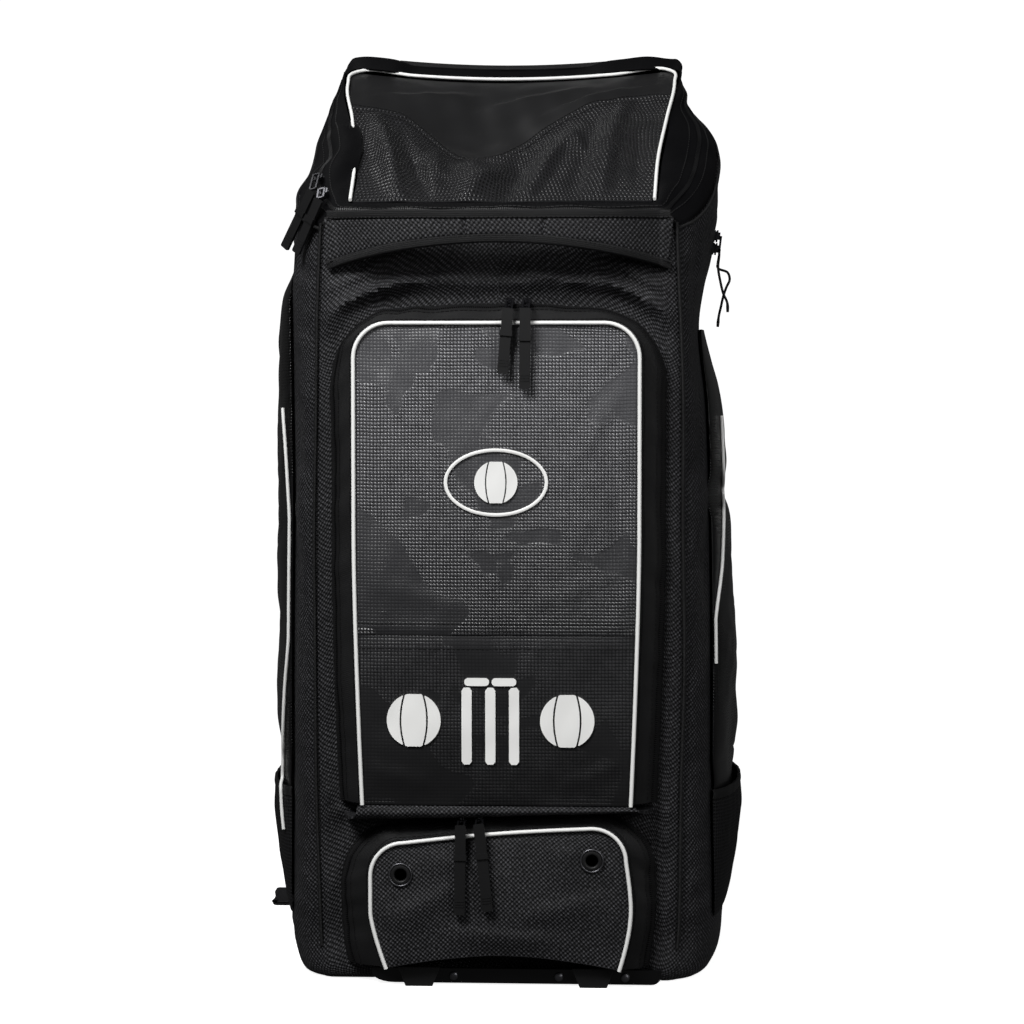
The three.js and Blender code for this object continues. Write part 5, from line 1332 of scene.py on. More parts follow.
@dataclass
class HaulHandle:
    """Padded band across the upper front, with bound upper and lower edges."""

    trim: Trim
    half: float = 153
    top: float = 693
    end_width: float = 53
    middle_width: float = 29
    bow: float = 33
    padding: float = 7
    binding: float = 8
    loose: float = 0.94
    front: float = 150

    def edges(self, share: Grid) -> tuple[Grid, Grid]:
        """Heights of the band's upper and lower edges along it."""
        middle = 1 - share**2
        top = self.top - 1.5 * middle
        return top, top - (self.end_width + (self.middle_width - self.end_width) * middle)

    def bowed(self, share: Grid) -> Grid:
        """How far the band stands off the panel along it."""
        return self.bow * np.maximum(1 - (share / self.loose) ** 4, 0) ** 1.3

    def band(self, name: str, low: Grid, high: Grid, share: Grid, thick: Grid, proud: float) -> bpy.types.Object:
        """A padded strip between two heights.

        Args:
            name: the piece's name.
            low: its lower edge along it.
            high: its upper edge.
            share: places along it, from -1 to 1.
            thick: half of its thickness.
            proud: how far it stands before the band's middle.

        Returns:
            The new object.
        """
        y = -(self.front + GAP + self.padding / 2 + self.bowed(share) + proud)
        thick = thick * (1 - 0.55 * fade(np.abs(share), 0.95, 1))
        path = np.stack([share * self.half, y, (low + high) / 2], 1)
        slope = np.gradient(y, share * self.half)
        out = np.stack([slope, -np.ones_like(y), np.zeros_like(y)], 1)
        return pad(name, path, out, (high - low) / 2, thick, 0.4, 32)

    def build(self) -> None:
        """Builds the woven middle and both bindings."""
        share = np.linspace(-1, 1, 130)
        top, bottom = self.edges(share)
        crease = sum(np.exp(-(((share * self.half - x) / 1.6) ** 2)) for x in (-28.0, 41.0))
        thick = self.padding / 2 * (1 - 0.55 * crease) * (1 + 0.03 * waves(share * 153, share * 0, 40, 6))
        core = self.band("handle_band", bottom + self.binding - 1, top - self.binding + 1, share, thick, 0.0)
        present(core, HANDLE_WEAVE, "haul_handle")
        wobble = 0.4 * waves(share * 153, share * 0, 60, 16)
        upper = self.band("handle_edge_upper", top - self.binding, top + wobble * 0.2, share, 4.3, 0.3)
        lower = self.band("handle_edge_lower", bottom, bottom + self.binding + wobble, share, 4.3, 0.3)
        present(upper, BINDING, "handle_binding_upper")
        present(lower, BINDING, "handle_binding_lower")
        for height in (top - self.binding + 1.2, bottom + self.binding - 1.2):
            line = np.stack([share * self.half, -(self.front + self.padding + self.bowed(share) + 1.3), height], 1)
            self.trim.stitches.follow(line, np.broadcast_to([0, -1.0, 0], line.shape))


@dataclass
class ArchPocket:
    """A zipped pocket on the front: a smooth gusset, a face and white piping on the face's edge."""

    trim: Trim
    seam: Outline
    face: Outline
    reach: float
    crown: float
    prefix: str
    front: float = 150
    stand: float = 2.5
    piping: float = 1.8
    levels: Grid = field(default_factory=lambda: np.linspace(0, 1, 60))
    arc: int = 14

    def gusset_rows(self) -> Grid:
        """The gusset's main rows, from the seam on the panel to the face's edge."""
        def at(outline: Outline, out: float) -> Grid:
            loop = outline.loop(self.levels, self.arc, 40)
            return np.stack([loop[:, 0], np.full(len(loop), -(self.front + out)), loop[:, 1]], 1)

        foot, edge = at(self.seam, GAP + self.stand), at(self.face, self.reach - self.stand)
        bulge = (foot - edge) * [0.2, 0, 0.2]
        middle = foot + (edge - foot) * 0.55 + bulge
        return np.stack([at(self.seam, GAP), foot, middle, edge, at(self.face, self.reach)])

    def gusset(self, seed: int) -> None:
        """Builds the gusset with the pocket's zip and the stitches beside it."""
        rows = self.gusset_rows()
        at = np.concatenate([[0, 0.04], np.linspace(0.09, 0.91, 16), [0.96, 1]])
        grid = ease([0, 0.09, 0.5, 0.91, 1], rows, at)
        length = along_path(grid[9])
        soft = np.sin(math.pi * np.clip((at - 0.06) / 0.88, 0, 1))[:, None] ** 0.8
        ripple = (1.1 * waves(length[None], at[:, None] * 40, 60, seed) + 0.6 * waves(length[None], at[:, None], 26, seed + 1))
        normals = normals_of(grid, True)
        grid = grid + normals * (ripple * soft)[..., None]
        present(wall(f"{self.prefix}_gusset_cloth", grid, CLOTH, wrap=True), ZIP_TAPE, f"{self.prefix}_pocket_gusset")
        sides = len(self.levels) + self.arc
        order = list(range(sides - 1, -1, -1))
        order = [*range(0, sides)][::-1] + [*range(len(grid[0]) - 1, sides + 38, -1)]
        for row, line, lift in ((7, self.trim.coils, 0.5), (4, self.trim.stitches, 0.3), (10, self.trim.stitches, 0.3),
                                (15, self.trim.stitches, 0.3)):
            normal = normals[row]
            line.follow((grid[row] + normal * lift)[order], normal[order])

    def full(self, across: Grid, z: Grid) -> Grid:
        """How full the face is at a place, flat under its piping."""
        rim = 2 * self.piping
        top = self.face.left_top + (self.face.right_top - self.face.left_top) * across - rim
        inside = (across - rim / (2 * self.face.half)) / (1 - rim / self.face.half)
        wide = np.sin(math.pi * np.clip(inside, 0, 1))
        tall = np.sin(math.pi * np.clip((z - self.face.bottom) / (top - self.face.bottom), 0, 1))
        return np.maximum(wide * tall, 0) ** 0.6

    def face_y(self, x: Grid, z: Grid) -> Grid:
        """y of the face's front at a place."""
        across = (np.asarray(x) / self.face.half + 1) / 2
        return -(self.front + self.reach + GAP + CLOTH) - self.crown * self.full(across, np.asarray(z))

    def face_grid(self, low: int, high: int, relief: Callable[[Grid, Grid], Grid]) -> Grid:
        """A stretch of the face between two of its levels, with its folds."""
        left, right = self.face.sides(self.levels, self.arc)
        left, right = left[low:high], right[low:high]
        rim = self.piping / self.face.half
        across = np.concatenate([[0, rim / 2, rim], np.linspace(rim, 1 - rim, 78)[1:-1], [1 - rim, 1 - rim / 2, 1]])
        grid = left[:, None] + (right - left)[:, None] * across[None, :, None]
        arch = np.zeros(len(left))
        last = len(self.levels) + self.arc
        if self.face.bottom_arch:
            height = (grid[:, 0, 1] - self.face.bottom) / 22
            arch = self.face.bottom_arch * np.clip(1 - height, 0, 1) ** 1.5
        if high >= last:
            arch = arch + self.face.top_arch * fade(np.arange(low, high), last - 8, last - 1)
        z = grid[..., 1] + arch[:, None] * np.sin(math.pi * across)[None]
        x = grid[..., 0]
        y = self.face_y(x, z)
        inside = fade(across, 0.02, 0.07) * fade(1 - across, 0.02, 0.07)
        upper = fade((self.face.left_top + self.face.right_top) / 2 - z, 5, 14) * fade(z - self.face.bottom, 0, 8)
        return np.stack([x, y - relief(x, z) * inside[None] * upper, z], -1)

    def edge_piping(self) -> None:
        """Builds the white piping on the face's edge, open at the bottom."""
        line = self.face.shrunk(self.piping).loop(self.levels, self.arc, 30, closed=False)
        y = -(self.front + self.reach + GAP + CLOTH + GAP + self.piping + 0.2)
        path = np.stack([line[:, 0], np.full(len(line), y), line[:, 1]], 1)
        present(rod(f"{self.prefix}_edge_piping", resample(path, 4), self.piping, 12), PIPING_WHITE,
                f"{self.prefix}_piping")


@dataclass
class FrontPocket(ArchPocket):
    """The tall front pocket, with a face in two printed panels and raised white shapes."""

    split: float = 316
    step: tuple[tuple[float, float, float, float], ...] = (
        # y, z at the left, z at the right, half-width
        (-151.4, 151.5, 158.6, 139), (-165, 150.2, 157.8, 137), (-179, 150.4, 158.0, 132), (-187, 153.0, 159.4, 127),
        (-189.6, 157.2, 161.3, 125), (-188.6, 161.6, 163.0, 124), (-186.4, 164.2, 164.3, 123),
    )
    creases: tuple[Crease, ...] = (
        Crease((-120, 560), (-60, 500), 12, 1.6), Crease((118, 540), (70, 470), 12, 1.6),
        Crease((-100, 360), (-20, 344), 10, 1.4), Crease((30, 346), (110, 372), 10, 1.4),
        Crease((-110, 480), (-104, 380), 9, -1.2), Crease((104, 470), (112, 380), 9, -1.2),
        Crease((-118, 200), (-60, 186), 9, 1.3), Crease((60, 184), (116, 206), 9, 1.3),
    )

    def relief(self, x: Grid, z: Grid) -> Grid:
        """Folds of the face, and the groove and ledge of its seam."""
        seam = -1.0 * np.exp(-(((z - self.split) / 1.6) ** 2)) + 0.8 * np.exp(-(((z - self.split - 4.5) / 2.6) ** 2))
        return fold(self.creases, x, z) + 0.9 * waves(x, z, 95, 14) + 0.35 * waves(x, z, 34, 15) + seam

    def faces(self) -> None:
        """Builds the lower and the upper panel of the face."""
        side = self.face.left_top - self.face.rounding - self.face.bottom
        share = (self.split - self.face.bottom) / side
        self.levels = np.concatenate([np.linspace(0, share, 28), np.linspace(share, 1, 46)[1:]])
        last = len(self.levels) + self.arc
        for name, node, low, high in (("pocket_panel_lower", "front_face_lower", 0, 28),
                                      ("pocket_panel_upper", "front_face_upper", 27, last)):
            grid = self.face_grid(low, high, self.relief)
            if low:
                grid[0, :, 2] += GAP
            # The lower panel takes the darker copy of the vinyl, as painted shade.
            made = present(wall(name, grid, CLOTH), FACE_VINYL if low else SHADED_LOW_VINYL, node)
            row = 2 if low else -3
            self.trim.stitches.follow(grid[row] - [0, 0.3, 0], np.broadcast_to([0, -1.0, 0], grid[row].shape))

    def band(self, left: Grid, right: Grid, z: Grid, columns: int, raise_by: float) -> Grid:
        """A strip of print that lies on the face between a left and a right edge."""
        share = np.linspace(0, 1, columns)[None]
        x = left[:, None] + (right - left)[:, None] * share
        rows = np.broadcast_to(z[:, None], x.shape)
        return np.stack([x, self.face_y(x, rows) - self.relief(x, rows) - raise_by, rows], -1)

    def print_strip(self, name: str, left: Grid, right: Grid, z: Grid, finish: Finish, *nodes: str,
                    columns: int = 8) -> None:
        """Builds one strip of raised print."""
        grid = self.band(left, right, z, columns, 2.1)
        present(wall(name, grid, 1.7), finish, *nodes)

    def stumps(self) -> None:
        """Builds the wicket: three stumps and the two bails on them."""
        centre, foot, height, width, pitch = -5.0, 202.0, 78.0, 9.0, 21.0
        for k, word in enumerate(("left", "middle", "right")):
            z = foot + np.linspace(0, height - 9.5, 26)
            x = centre + (k - 1) * pitch
            cap = np.minimum(np.minimum(z - foot, foot + height - 9.5 - z), 2.0)
            half = width / 2 - 2 + np.sqrt(np.maximum(4 - (2 - cap) ** 2, 0))
            self.print_strip(f"print_stump_{word}", x - half, x + half, z, PRINT_WHITE,
                             *(["motif_stumps"] if k == 1 else []))
        for k, word in ((-1, "left"), (1, "right")):
            z = foot + height - 8 + np.linspace(0, 7, 10)
            middle = centre + k * (pitch / 2 + 1.6)
            half = pitch / 2 + 0.4 - 2.6 * (np.abs(z - z.mean()) / 3.5) ** 3
            self.print_strip(f"print_bail_{word}", middle - half, middle + half, z, PRINT_WHITE)

    def balls(self) -> None:
        """Builds the two balls, each parted by the two lines of its seam."""
        radius, spread_by, gap = 24.0, 68.0, 1.6
        z0 = 202 + 39
        for side in Side:
            x0 = -5 + side.value * spread_by
            for part, word in ((-1, "outer"), (0, "core"), (1, "inner")):
                z = np.linspace(-radius, radius, 61)[1:-1]
                chord = np.sqrt(radius**2 - z**2)
                line = radius * (0.3 + 0.16 * (1 - (z / radius) ** 2))
                line = np.minimum(line, chord - 0.05)
                if part == 0:
                    left, right, rows = -line, line, z
                else:
                    keep = chord > line + gap + 0.4
                    left, right, rows = line[keep] + gap, chord[keep], z[keep]
                    if part < 0:
                        left, right = -right, -left
                self.print_strip(f"print_ball_{side.word}_{word}", x0 + left, x0 + right, z0 + rows, PRINT_WHITE,
                                 *([f"motif_ball_{side.word}"] if part == 0 else []))

    def ledge(self) -> None:
        """Builds the woven fold of the panel that fills the step down to the pocket below."""
        share = np.linspace(0, 1, 100)
        rows = ease(np.arange(len(self.step)), np.array(self.step), np.linspace(0, len(self.step) - 1, 26))
        grid = np.stack([
            rows[:, 3:4] * (2 * share[None] - 1),
            np.broadcast_to(rows[:, :1], (26, 100)),
            rows[:, 1:2] + (rows[:, 2:3] - rows[:, 1:2]) * share[None],
        ], -1)
        soft = np.sin(math.pi * np.linspace(0, 1, 26))[:, None]
        grid += normals_of(grid) * (soft * (0.7 * waves(grid[..., 0], grid[..., 2] * 2, 42, 91)))[..., None]
        present(wall("panel_ledge", grid, CLOTH), TWEED)

    def badge(self) -> None:
        """Builds the oval rim on the upper panel and the small plain ball inside it."""
        turns = np.linspace(0, 2 * math.pi, 120, endpoint=False)
        radial = np.linspace(0, 1, 5)[:, None]
        wide = (46 - 3 * (1 - radial)) * np.cos(turns)
        tall = (30 - 3 * (1 - radial)) * np.sin(turns)
        x, z = wide[::-1], 452 + tall[::-1]
        grid = np.stack([x, self.face_y(x, z) - self.relief(x, z) - 2.0 - 0.5 * np.sin(math.pi * radial), z], -1)
        present(wall("badge_oval_rim", grid, 1.6, wrap=True), PRINT_WHITE, "badge_rim")
        radius, gap = 19.0, 1.2
        z = np.linspace(-radius, radius, 49)[1:-1]
        chord = np.sqrt(radius**2 - z**2)
        line = np.minimum(radius * (0.28 + 0.16 * (1 - (z / radius) ** 2)), chord - 0.05)
        keep = chord > line + gap + 0.4
        self.print_strip("badge_ball_core", -line, line, 452 + z, PRINT_WHITE)
        self.print_strip("badge_ball_left", -chord[keep], -line[keep] - gap, 452 + z[keep], PRINT_WHITE)
        self.print_strip("badge_ball_right", line[keep] + gap, chord[keep], 452 + z[keep], PRINT_WHITE)

    def build(self) -> None:
        """Builds every piece of the pocket."""
        self.faces()
        self.gusset(40)
        self.edge_piping()
        self.ledge()
        self.stumps()
        self.balls()
        self.badge()


@dataclass
class ShoePocket(ArchPocket):
    """The low shoe pocket, woven, with two ringed vents."""

    hole: float = 5.5
    outer: float = 10.5
    creases: tuple[Crease, ...] = (
        Crease((-100, 60), (-30, 96), 14, 3.0), Crease((20, 66), (96, 84), 13, 2.6),
        Crease((-60, 120), (10, 104), 10, 2.0), Crease((50, 126), (112, 112), 9, 1.6),
        Crease((-40, 52), (60, 46), 10, 2.2), Crease((-112, 110), (-100, 60), 8, 1.6),
    )

    def relief(self, x: Grid, z: Grid) -> Grid:
        """Folds of the face, level round the vents."""
        flat = np.ones(np.broadcast(x, z).shape)
        for side in Side:
            cx, cz = self.vent(side)
            flat = flat * fade(np.hypot(x - cx, z - cz), 10, 20)
        return (fold(self.creases, x, z) + 1.0 * waves(x, z, 70, 44)) * flat

    def vent(self, side: Side) -> tuple[float, float]:
        """Place of a vent's middle."""
        top = self.face.left_top if side is Side.LEFT else self.face.right_top
        return side.value * (self.face.half - self.face.rounding - 2), top - self.face.rounding

    def panel(self) -> None:
        """Builds the woven face and cuts the two vents through it."""
        grid = self.face_grid(0, len(self.levels) + self.arc, self.relief)
        made = wall("shoe_panel", grid, CLOTH)
        drill = Shaper()
        for side in Side:
            x, z = self.vent(side)
            place = Matrix.Translation((x, -190, z)) @ Matrix.Rotation(math.pi / 2, 4, "X")
            drill.lathe([(0, -30), (self.hole + 1.2, -30), (self.hole + 1.2, 30), (0, 30)], place, 28)
        cutter = drill.finish("drill")
        modifier = made.modifiers.new("vents", "BOOLEAN")
        modifier.operation, modifier.object, modifier.solver = "DIFFERENCE", cutter, "EXACT"
        graph = bpy.context.evaluated_depsgraph_get()
        plain = bpy.data.meshes.new_from_object(made.evaluated_get(graph), depsgraph=graph)
        made.modifiers.clear()
        made.data = plain
        bpy.data.objects.remove(cutter)
        present(made, TWEED, "shoe_pocket_face")

    def vents(self) -> None:
        """Builds each vent: a black grommet with a bright rim round it."""
        for side in Side:
            x, z = self.vent(side)
            y = float(self.face_y(x, z)) - 0.9
            place = Matrix.Translation((x, y, z)) @ Matrix.Rotation(math.pi / 2, 4, "X")
            body = [(self.hole, -3.6), (self.hole, 1.0), (self.hole + 0.5, 1.6), (self.hole + 1.2, 1.8), (8.6, 1.3),
                    (8.9, 0.4), (8.9, 0.0), (7.0, 0.0), (7.0, -3.6), (self.hole, -3.6)]
            grommet = Shaper().lathe(body, place, 40).finish(f"vent_grommet_{side.word}")
            present(grommet, RUBBER)
            rim = [(8.9 + 1.0 + 0.95 * math.cos(a), 0.9 + 0.95 * math.sin(a)) for a in np.linspace(0, 2 * math.pi, 13)]
            ring = Shaper().lathe(rim, place, 48).finish(f"vent_rim_{side.word}")
            present(ring, NICKEL, f"vent_eyelet_{side.word}")

    def build(self) -> None:
        """Builds every piece of the pocket."""
        self.levels = np.linspace(0, 1, 34)
        self.panel()
        self.gusset(60)
        self.edge_piping()
        self.vents()


# Fullness of the side pockets from their bottom up: place, left, right
SIDE_ROWS = np.array([(0, 0, 0), (0.04, 0.42, 0.42), (0.12, 0.60, 0.54), (0.25, 0.56, 0.60), (0.45, 0.64, 0.48),
                      (0.65, 0.66, 0.37), (0.85, 0.52, 0.31), (0.93, 0.36, 0.22), (0.97, 0.10, 0.14), (1, 0, 0.06)])


@dataclass
class SidePockets:
    """The big printed pocket on each side, the mesh bottle pocket below it and the webbing tab."""

    form: BodyForm
    trim: Trim
    bottom: float = 180
    left_top: float = 652
    right_top: float = 588
    front: float = 104
    back: float = 116
    bulge: float = 25
    bottle_bottom: float = 52
    bottle_top: float = 168
    bottle_bulge: float = 22
    bound: float = 9
    seat: float = 0.8
    piping: float = 1.6
    tuck: float = 32
    tab_tilt: float = 0.42
    dips: dict[str, tuple[tuple[float, float, float], ...]] = field(default_factory=lambda: {
        # height, depth, half-length
        "left": ((658, 7.0, 26),), "right": ((438, 5.5, 13),),
    })
    piping_lines: dict[str, tuple[tuple[float, float], ...]] = field(default_factory=lambda: {
        # height, x
        "left": ((516, 200.0), (459, 195.5), (368, 191.2), (306, 194.2), (256, 199.0), (202, 202.4), (173, 204.0),
                 (150, 203.0), (127, 200.5)),
        "right": ((508, 199.9), (434, 201.9), (380, 200.5), (335, 195.2), (294, 190.0), (284, 188.8)),
    })

    def grid(self, side: int, z: Grid, front: Grid, back: Grid, along: Grid, full: Grid) -> Grid:
        """Points of a pocket that stands off the side wall.

        Args:
            side: -1 or 1.
            z: heights of the rows.
            front: how far forwards each row starts.
            back: how far back each row ends.
            along: places of the columns from front to back.
            full: how far each point stands off.

        Returns:
            The grid, its columns running to the right seen from outside.
        """
        along = along if side > 0 else 1 - along
        y = -front[:, None] + (front + back)[:, None] * along[None]
        rows = np.broadcast_to(z[:, None], y.shape)
        out = self.form.side_x(side, y, rows) + self.seat + CLOTH + full
        return np.stack([side * out, y, rows], -1)

    def fullness(self, side: Side, up: Grid, along: Grid) -> Grid:
        """How far the side pocket stands off the wall."""
        column = SIDE_ROWS[:, 1] if side is Side.LEFT else SIDE_ROWS[:, 2]
        share = ease(SIDE_ROWS[:, 0], column, up)
        z = self.bottom + (self.top_of(side) - self.bottom) * up
        tucked = 0.40 * fade(z, self.bottle_top - 22, self.bottle_top - 8) * (1 - fade(z, 190, 215))
        dip = sum(deep * np.exp(-(((z - height) / half) ** 2)) for height, deep, half in self.dips[side.word])
        return self.bulge * np.maximum(share, tucked) * np.maximum(np.sin(math.pi * along), 0) ** 0.5 - dip

    def top_of(self, side: Side) -> float:
        """Height of the side pocket's top."""
        return self.left_top if side is Side.LEFT else self.right_top

    def bottle_full(self, up: Grid, along: Grid) -> Grid:
        """How far the bottle pocket stands off the wall, a little less at its bound mouth."""
        swell = up**0.7 * (1 - 0.18 * fade(up, 0.72, 1))
        return self.bottle_bulge * swell * np.maximum(np.sin(math.pi * along), 0) ** 0.5

    def surface(self, side: Side, y: Grid, z: float) -> Grid:
        """x of the outermost cloth on a side at a height."""
        along = np.clip((y + self.front) / (self.front + self.back), 0, 1)
        up = (z - self.bottom) / (self.top_of(side) - self.bottom)
        low = (z - self.bottle_bottom) / (self.bottle_top - self.bottle_bottom)
        full = self.fullness(side, np.full(y.shape, max(up, -0.08)), along)
        if low < 1:
            full = np.maximum(full, self.bottle_full(np.full(y.shape, low), along))
        return self.form.side_x(side.value, y, np.full(y.shape, z)) + self.seat + CLOTH + full

    def pocket(self, side: Side) -> None:
        """Builds the printed pocket and the white piping down its front edge."""
        top = self.top_of(side)
        tuck = -self.tuck / (top - self.bottom)
        up = np.concatenate([np.linspace(tuck, 0.06, 16), np.linspace(0.07, 0.94, 90), np.linspace(0.95, 1, 8)])
        z = self.bottom + (top - self.bottom) * up
        narrow = (1 - 0.3 * np.maximum(up, 0) ** 6) * (0.93 + 0.07 * fade(z, self.bottle_top + 2, self.bottle_top + 30))
        along = (1 - np.cos(np.linspace(0, math.pi, 56))) / 2
        shown = along if side is Side.RIGHT else 1 - along
        full = self.fullness(side, up[:, None], shown[None])
        ripple = 1.6 * waves(shown[None] * 220, z[:, None], 110, 51 + side.value) + 0.8 * waves(
            shown[None] * 220, z[:, None], 42, 53 + side.value)
        full = full + ripple * fade(full, 3, 14)
        grid = self.grid(side.value, z, self.front * narrow, self.back * narrow, along, full)
        made = present(wall(f"side_panel_{side.word}", grid, CLOTH), SIDE_VINYL, f"side_pocket_{side.word}")

        line = np.array(self.piping_lines[side.word])
        heights = np.linspace(line[0, 0], line[-1, 0], 60)
        targets = ease(line[::-1, 0], line[::-1, 1], heights)
        places = np.linspace(0.6 - self.front, -30, 90)
        path = []
        for height, target in zip(heights, targets):
            y = float(np.interp(target, self.surface(side, places, height), places))
            out = float(self.surface(side, np.array([y]), height)[0])
            path.append((side.value * (out + self.piping * 0.7 + GAP), y - self.piping * 0.9, height))
        present(rod(f"side_edge_piping_{side.word}", resample(path, 5), self.piping, 12), PIPING_WHITE,
                f"side_piping_{side.word}")

    def bottle(self, side: Side) -> None:
        """Builds the mesh bottle pocket and its bound mouth."""
        height = self.bottle_top - self.bottle_bottom
        band = 1 - self.bound / height
        along = (1 - np.cos(np.linspace(0, math.pi, 56))) / 2
        shown = along if side is Side.RIGHT else 1 - along

        def full(up: Grid, pucker: float) -> Grid:
            plain = self.bottle_full(up[:, None], shown[None])
            return plain + pucker * waves(shown[None] * 220, up[:, None] * 30, 20, 71) * fade(plain, 3, 10)

        up = np.linspace(0, band - GAP / height, 40)
        z = self.bottle_bottom + height * up
        ends = (np.full(len(up), self.front), np.full(len(up), self.back))
        grid = self.grid(side.value, z, *ends, along, full(up, 0.8))
        made = present(wall(f"bottle_mesh_{side.word}", grid, 1.4), BOTTLE_MESH, f"bottle_pocket_{side.word}")
        up = np.linspace(band, 1, 9)
        z = self.bottle_bottom + height * up
        ends = (np.full(len(up), self.front), np.full(len(up), self.back))
        proud = np.sin(np.linspace(0, math.pi, 9))[:, None] * 0.7
        grid = self.grid(side.value, z, *ends, along, full(up, 0.5) + proud)
        present(wall(f"bottle_edge_{side.word}", grid, CLOTH), BINDING, f"bottle_binding_{side.word}")

    def tab(self) -> None:
        """Builds the short folded end of webbing low on the left side."""
        start = float(self.form.side_x(-1, 2.5, 45.0)) + self.seat
        loop = [(start, 46.0), (start + 9, 46.1), (219, 46.1), (222.6, 45.9), (223.6, 45.0), (222.6, 44.1),
                (219, 43.9), (start + 9, 43.9), (start, 44.0)]
        path = resample([(-x, 2.5, z) for x, z in loop], 1.2)
        rise = np.gradient(path[:, 0])
        out = np.stack([-np.gradient(path[:, 2]), -rise * math.sin(self.tab_tilt), rise * math.cos(self.tab_tilt)], 1)
        present(pad("side_tab", path, -out, 12.4, 0.9, 0.3, 16), WEBBING, "webbing_tab")

    def build(self) -> None:
        """Builds both sides."""
        for side in Side:
            self.pocket(side)
            self.bottle(side)
        self.tab()


@dataclass
class BaseTray:
    """Moulded tray under the bag, its two rubber feet and the rivets in its lip."""

    half: float = 130
    centre: float = 17
    foot_centre: float = 8
    front: float = 170
    back: float = 142
    plate: float = 2.8
    lift: float = 1.9
    lip_height: float = 15
    lip: float = 4
    foot_spread: float = 78
    corner: float = 9
    left_slant: float = 2.3
    rivet_shares: tuple[tuple[str, float], ...] = (("left", -0.432), ("middle", 0.294), ("right", 0.75))

    def tray(self) -> None:
        """Builds the plate and its front lip."""
        left, right = self.centre - self.half, self.centre + self.half
        shape = Shaper()
        shape.box((left + self.corner * self.left_slant, -self.front + 2, self.lift),
                  (right - self.corner, self.back, self.lift + self.plate), bevel=1.2, segments=3)
        low, high, round_by = self.lift, self.lip_height, self.corner
        turns = np.linspace(0, math.pi / 2, 7)
        ends = [(right - round_by * (1 - math.sin(a)), low + round_by * (1 - math.cos(a))) for a in turns]
        outline = [*ends, (right, high), (left, high), *((left + (right - x) * self.left_slant, z) for x, z in reversed(ends))]
        upright = Matrix.Rotation(math.pi / 2, 4, "X")
        shape.prism(outline, self.front - self.lip, self.front, upright, 1.6, 3)
        present(shape.finish("moulded_tray"), ABS, "base_tray")

    def feet(self) -> None:
        """Builds the two feet: a tapered block before the lip and a runner back under the plate."""
        for side in Side:
            x = self.foot_centre + side.value * self.foot_spread
            front = self.front + GAP
            turn = Matrix.Rotation(math.pi / 2, 4, "X")
            block = [(x - 12, 0), (x + 12, 0), (x + 19, 17), (x - 19, 17)]
            shape = Shaper().prism(block, front, front + 6, turn, 1.1, 3)
            shape.box((x - 12, -front - 1, 0), (x + 12, self.back, self.lift - GAP), bevel=0.4)
            present(shape.finish(f"rubber_foot_{side.word}"), RUBBER, f"foot_{side.word}")

    def rivets(self) -> None:
        """Builds the bright dome rivets in the lip."""
        for word, share in self.rivet_shares:
            x, z = self.centre + share * self.half, (self.lift + self.lip_height) / 2
            arc = [(4.2 * math.cos(a), 2.4 * math.sin(a)) for a in np.linspace(0, math.pi / 2, 9)]
            arc[-1] = (0, 2.4)
            place = Matrix.Translation((x, -self.front - GAP, z)) @ Matrix.Rotation(math.pi / 2, 4, "X")
            dome = Shaper().lathe([(0, 0), (4.2, 0), *arc[1:]], place, 28).finish(f"dome_rivet_{word}")
            present(dome, NICKEL, f"rivet_{word}")

    def build(self) -> None:
        """Builds the base."""
        self.tray()
        self.feet()
        self.rivets()


@dataclass
class BackHarness:
    """Two padded shoulder straps on the back and their lower webbing."""

    trim: Trim
    width: float = 62
    padding: float = 12
    top: float = 775
    bottom: float = 300
    spread: float = 56
    outwards: float = 44
    bow: float = 35
    back: float = 150
    rows: tuple[tuple[float, float, float, float], ...] = (
        (0.00, 0.00, 0.00, 1.00), (0.10, 0.32, 0.08, 1.00), (0.28, 0.82, 0.28, 1.00), (0.46, 1.00, 0.50, 0.97),
        (0.64, 0.94, 0.70, 0.92), (0.84, 0.52, 0.88, 0.84), (1.00, 0.00, 1.00, 0.70),
    )

    def strap(self, side: Side) -> None:
        """Builds a padded strap with a line of stitches near each edge."""
        rows = np.array(self.rows)
        down = np.linspace(0, 1, 110)
        bow, out, wide = ease(rows[:, 0], rows[:, 1:], down).T
        path = np.stack([
            side.value * (self.spread + out * self.outwards),
            self.back + GAP + self.padding / 2 + 0.6 + self.bow * bow,
            self.top + (self.bottom - self.top) * down,
        ], 1)
        slope = np.gradient(path[:, 1], path[:, 2])
        face = np.stack([np.zeros(110), np.ones(110), -slope], 1)
        half = self.width / 2 * wide
        made = pad(f"padded_strap_{side.word}", path, face, half, self.padding / 2 - 0.3, 0.38, 40)
        present(made, TWEED, f"shoulder_strap_{side.word}")
        across, outward = frames_of(path, face)
        for sign in (-1, 1):
            line = path + across * (sign * (half - 7))[:, None] + outward * (self.padding / 2)
            self.trim.stitches.follow(line[4:-4], outward[4:-4])

    def webbing(self, side: Side) -> None:
        """Builds the flat webbing from the strap's end to the base seam."""
        up = np.linspace(0, 1, 40)
        end = self.spread + self.outwards
        path = np.stack([side.value * (168 + (end - 168) * up), np.full(40, self.back + GAP + 1),
                         45 + (self.bottom - 0.6 - 45) * up], 1)
        made = pad(f"flat_webbing_{side.word}", path, np.broadcast_to([0, 1.0, 0], path.shape), 12.5, 1, 0.25, 16)
        present(made, WEBBING, f"strap_webbing_{side.word}")

    def build(self) -> None:
        """Builds both straps."""
        for side in Side:
            self.strap(side)
            self.webbing(side)


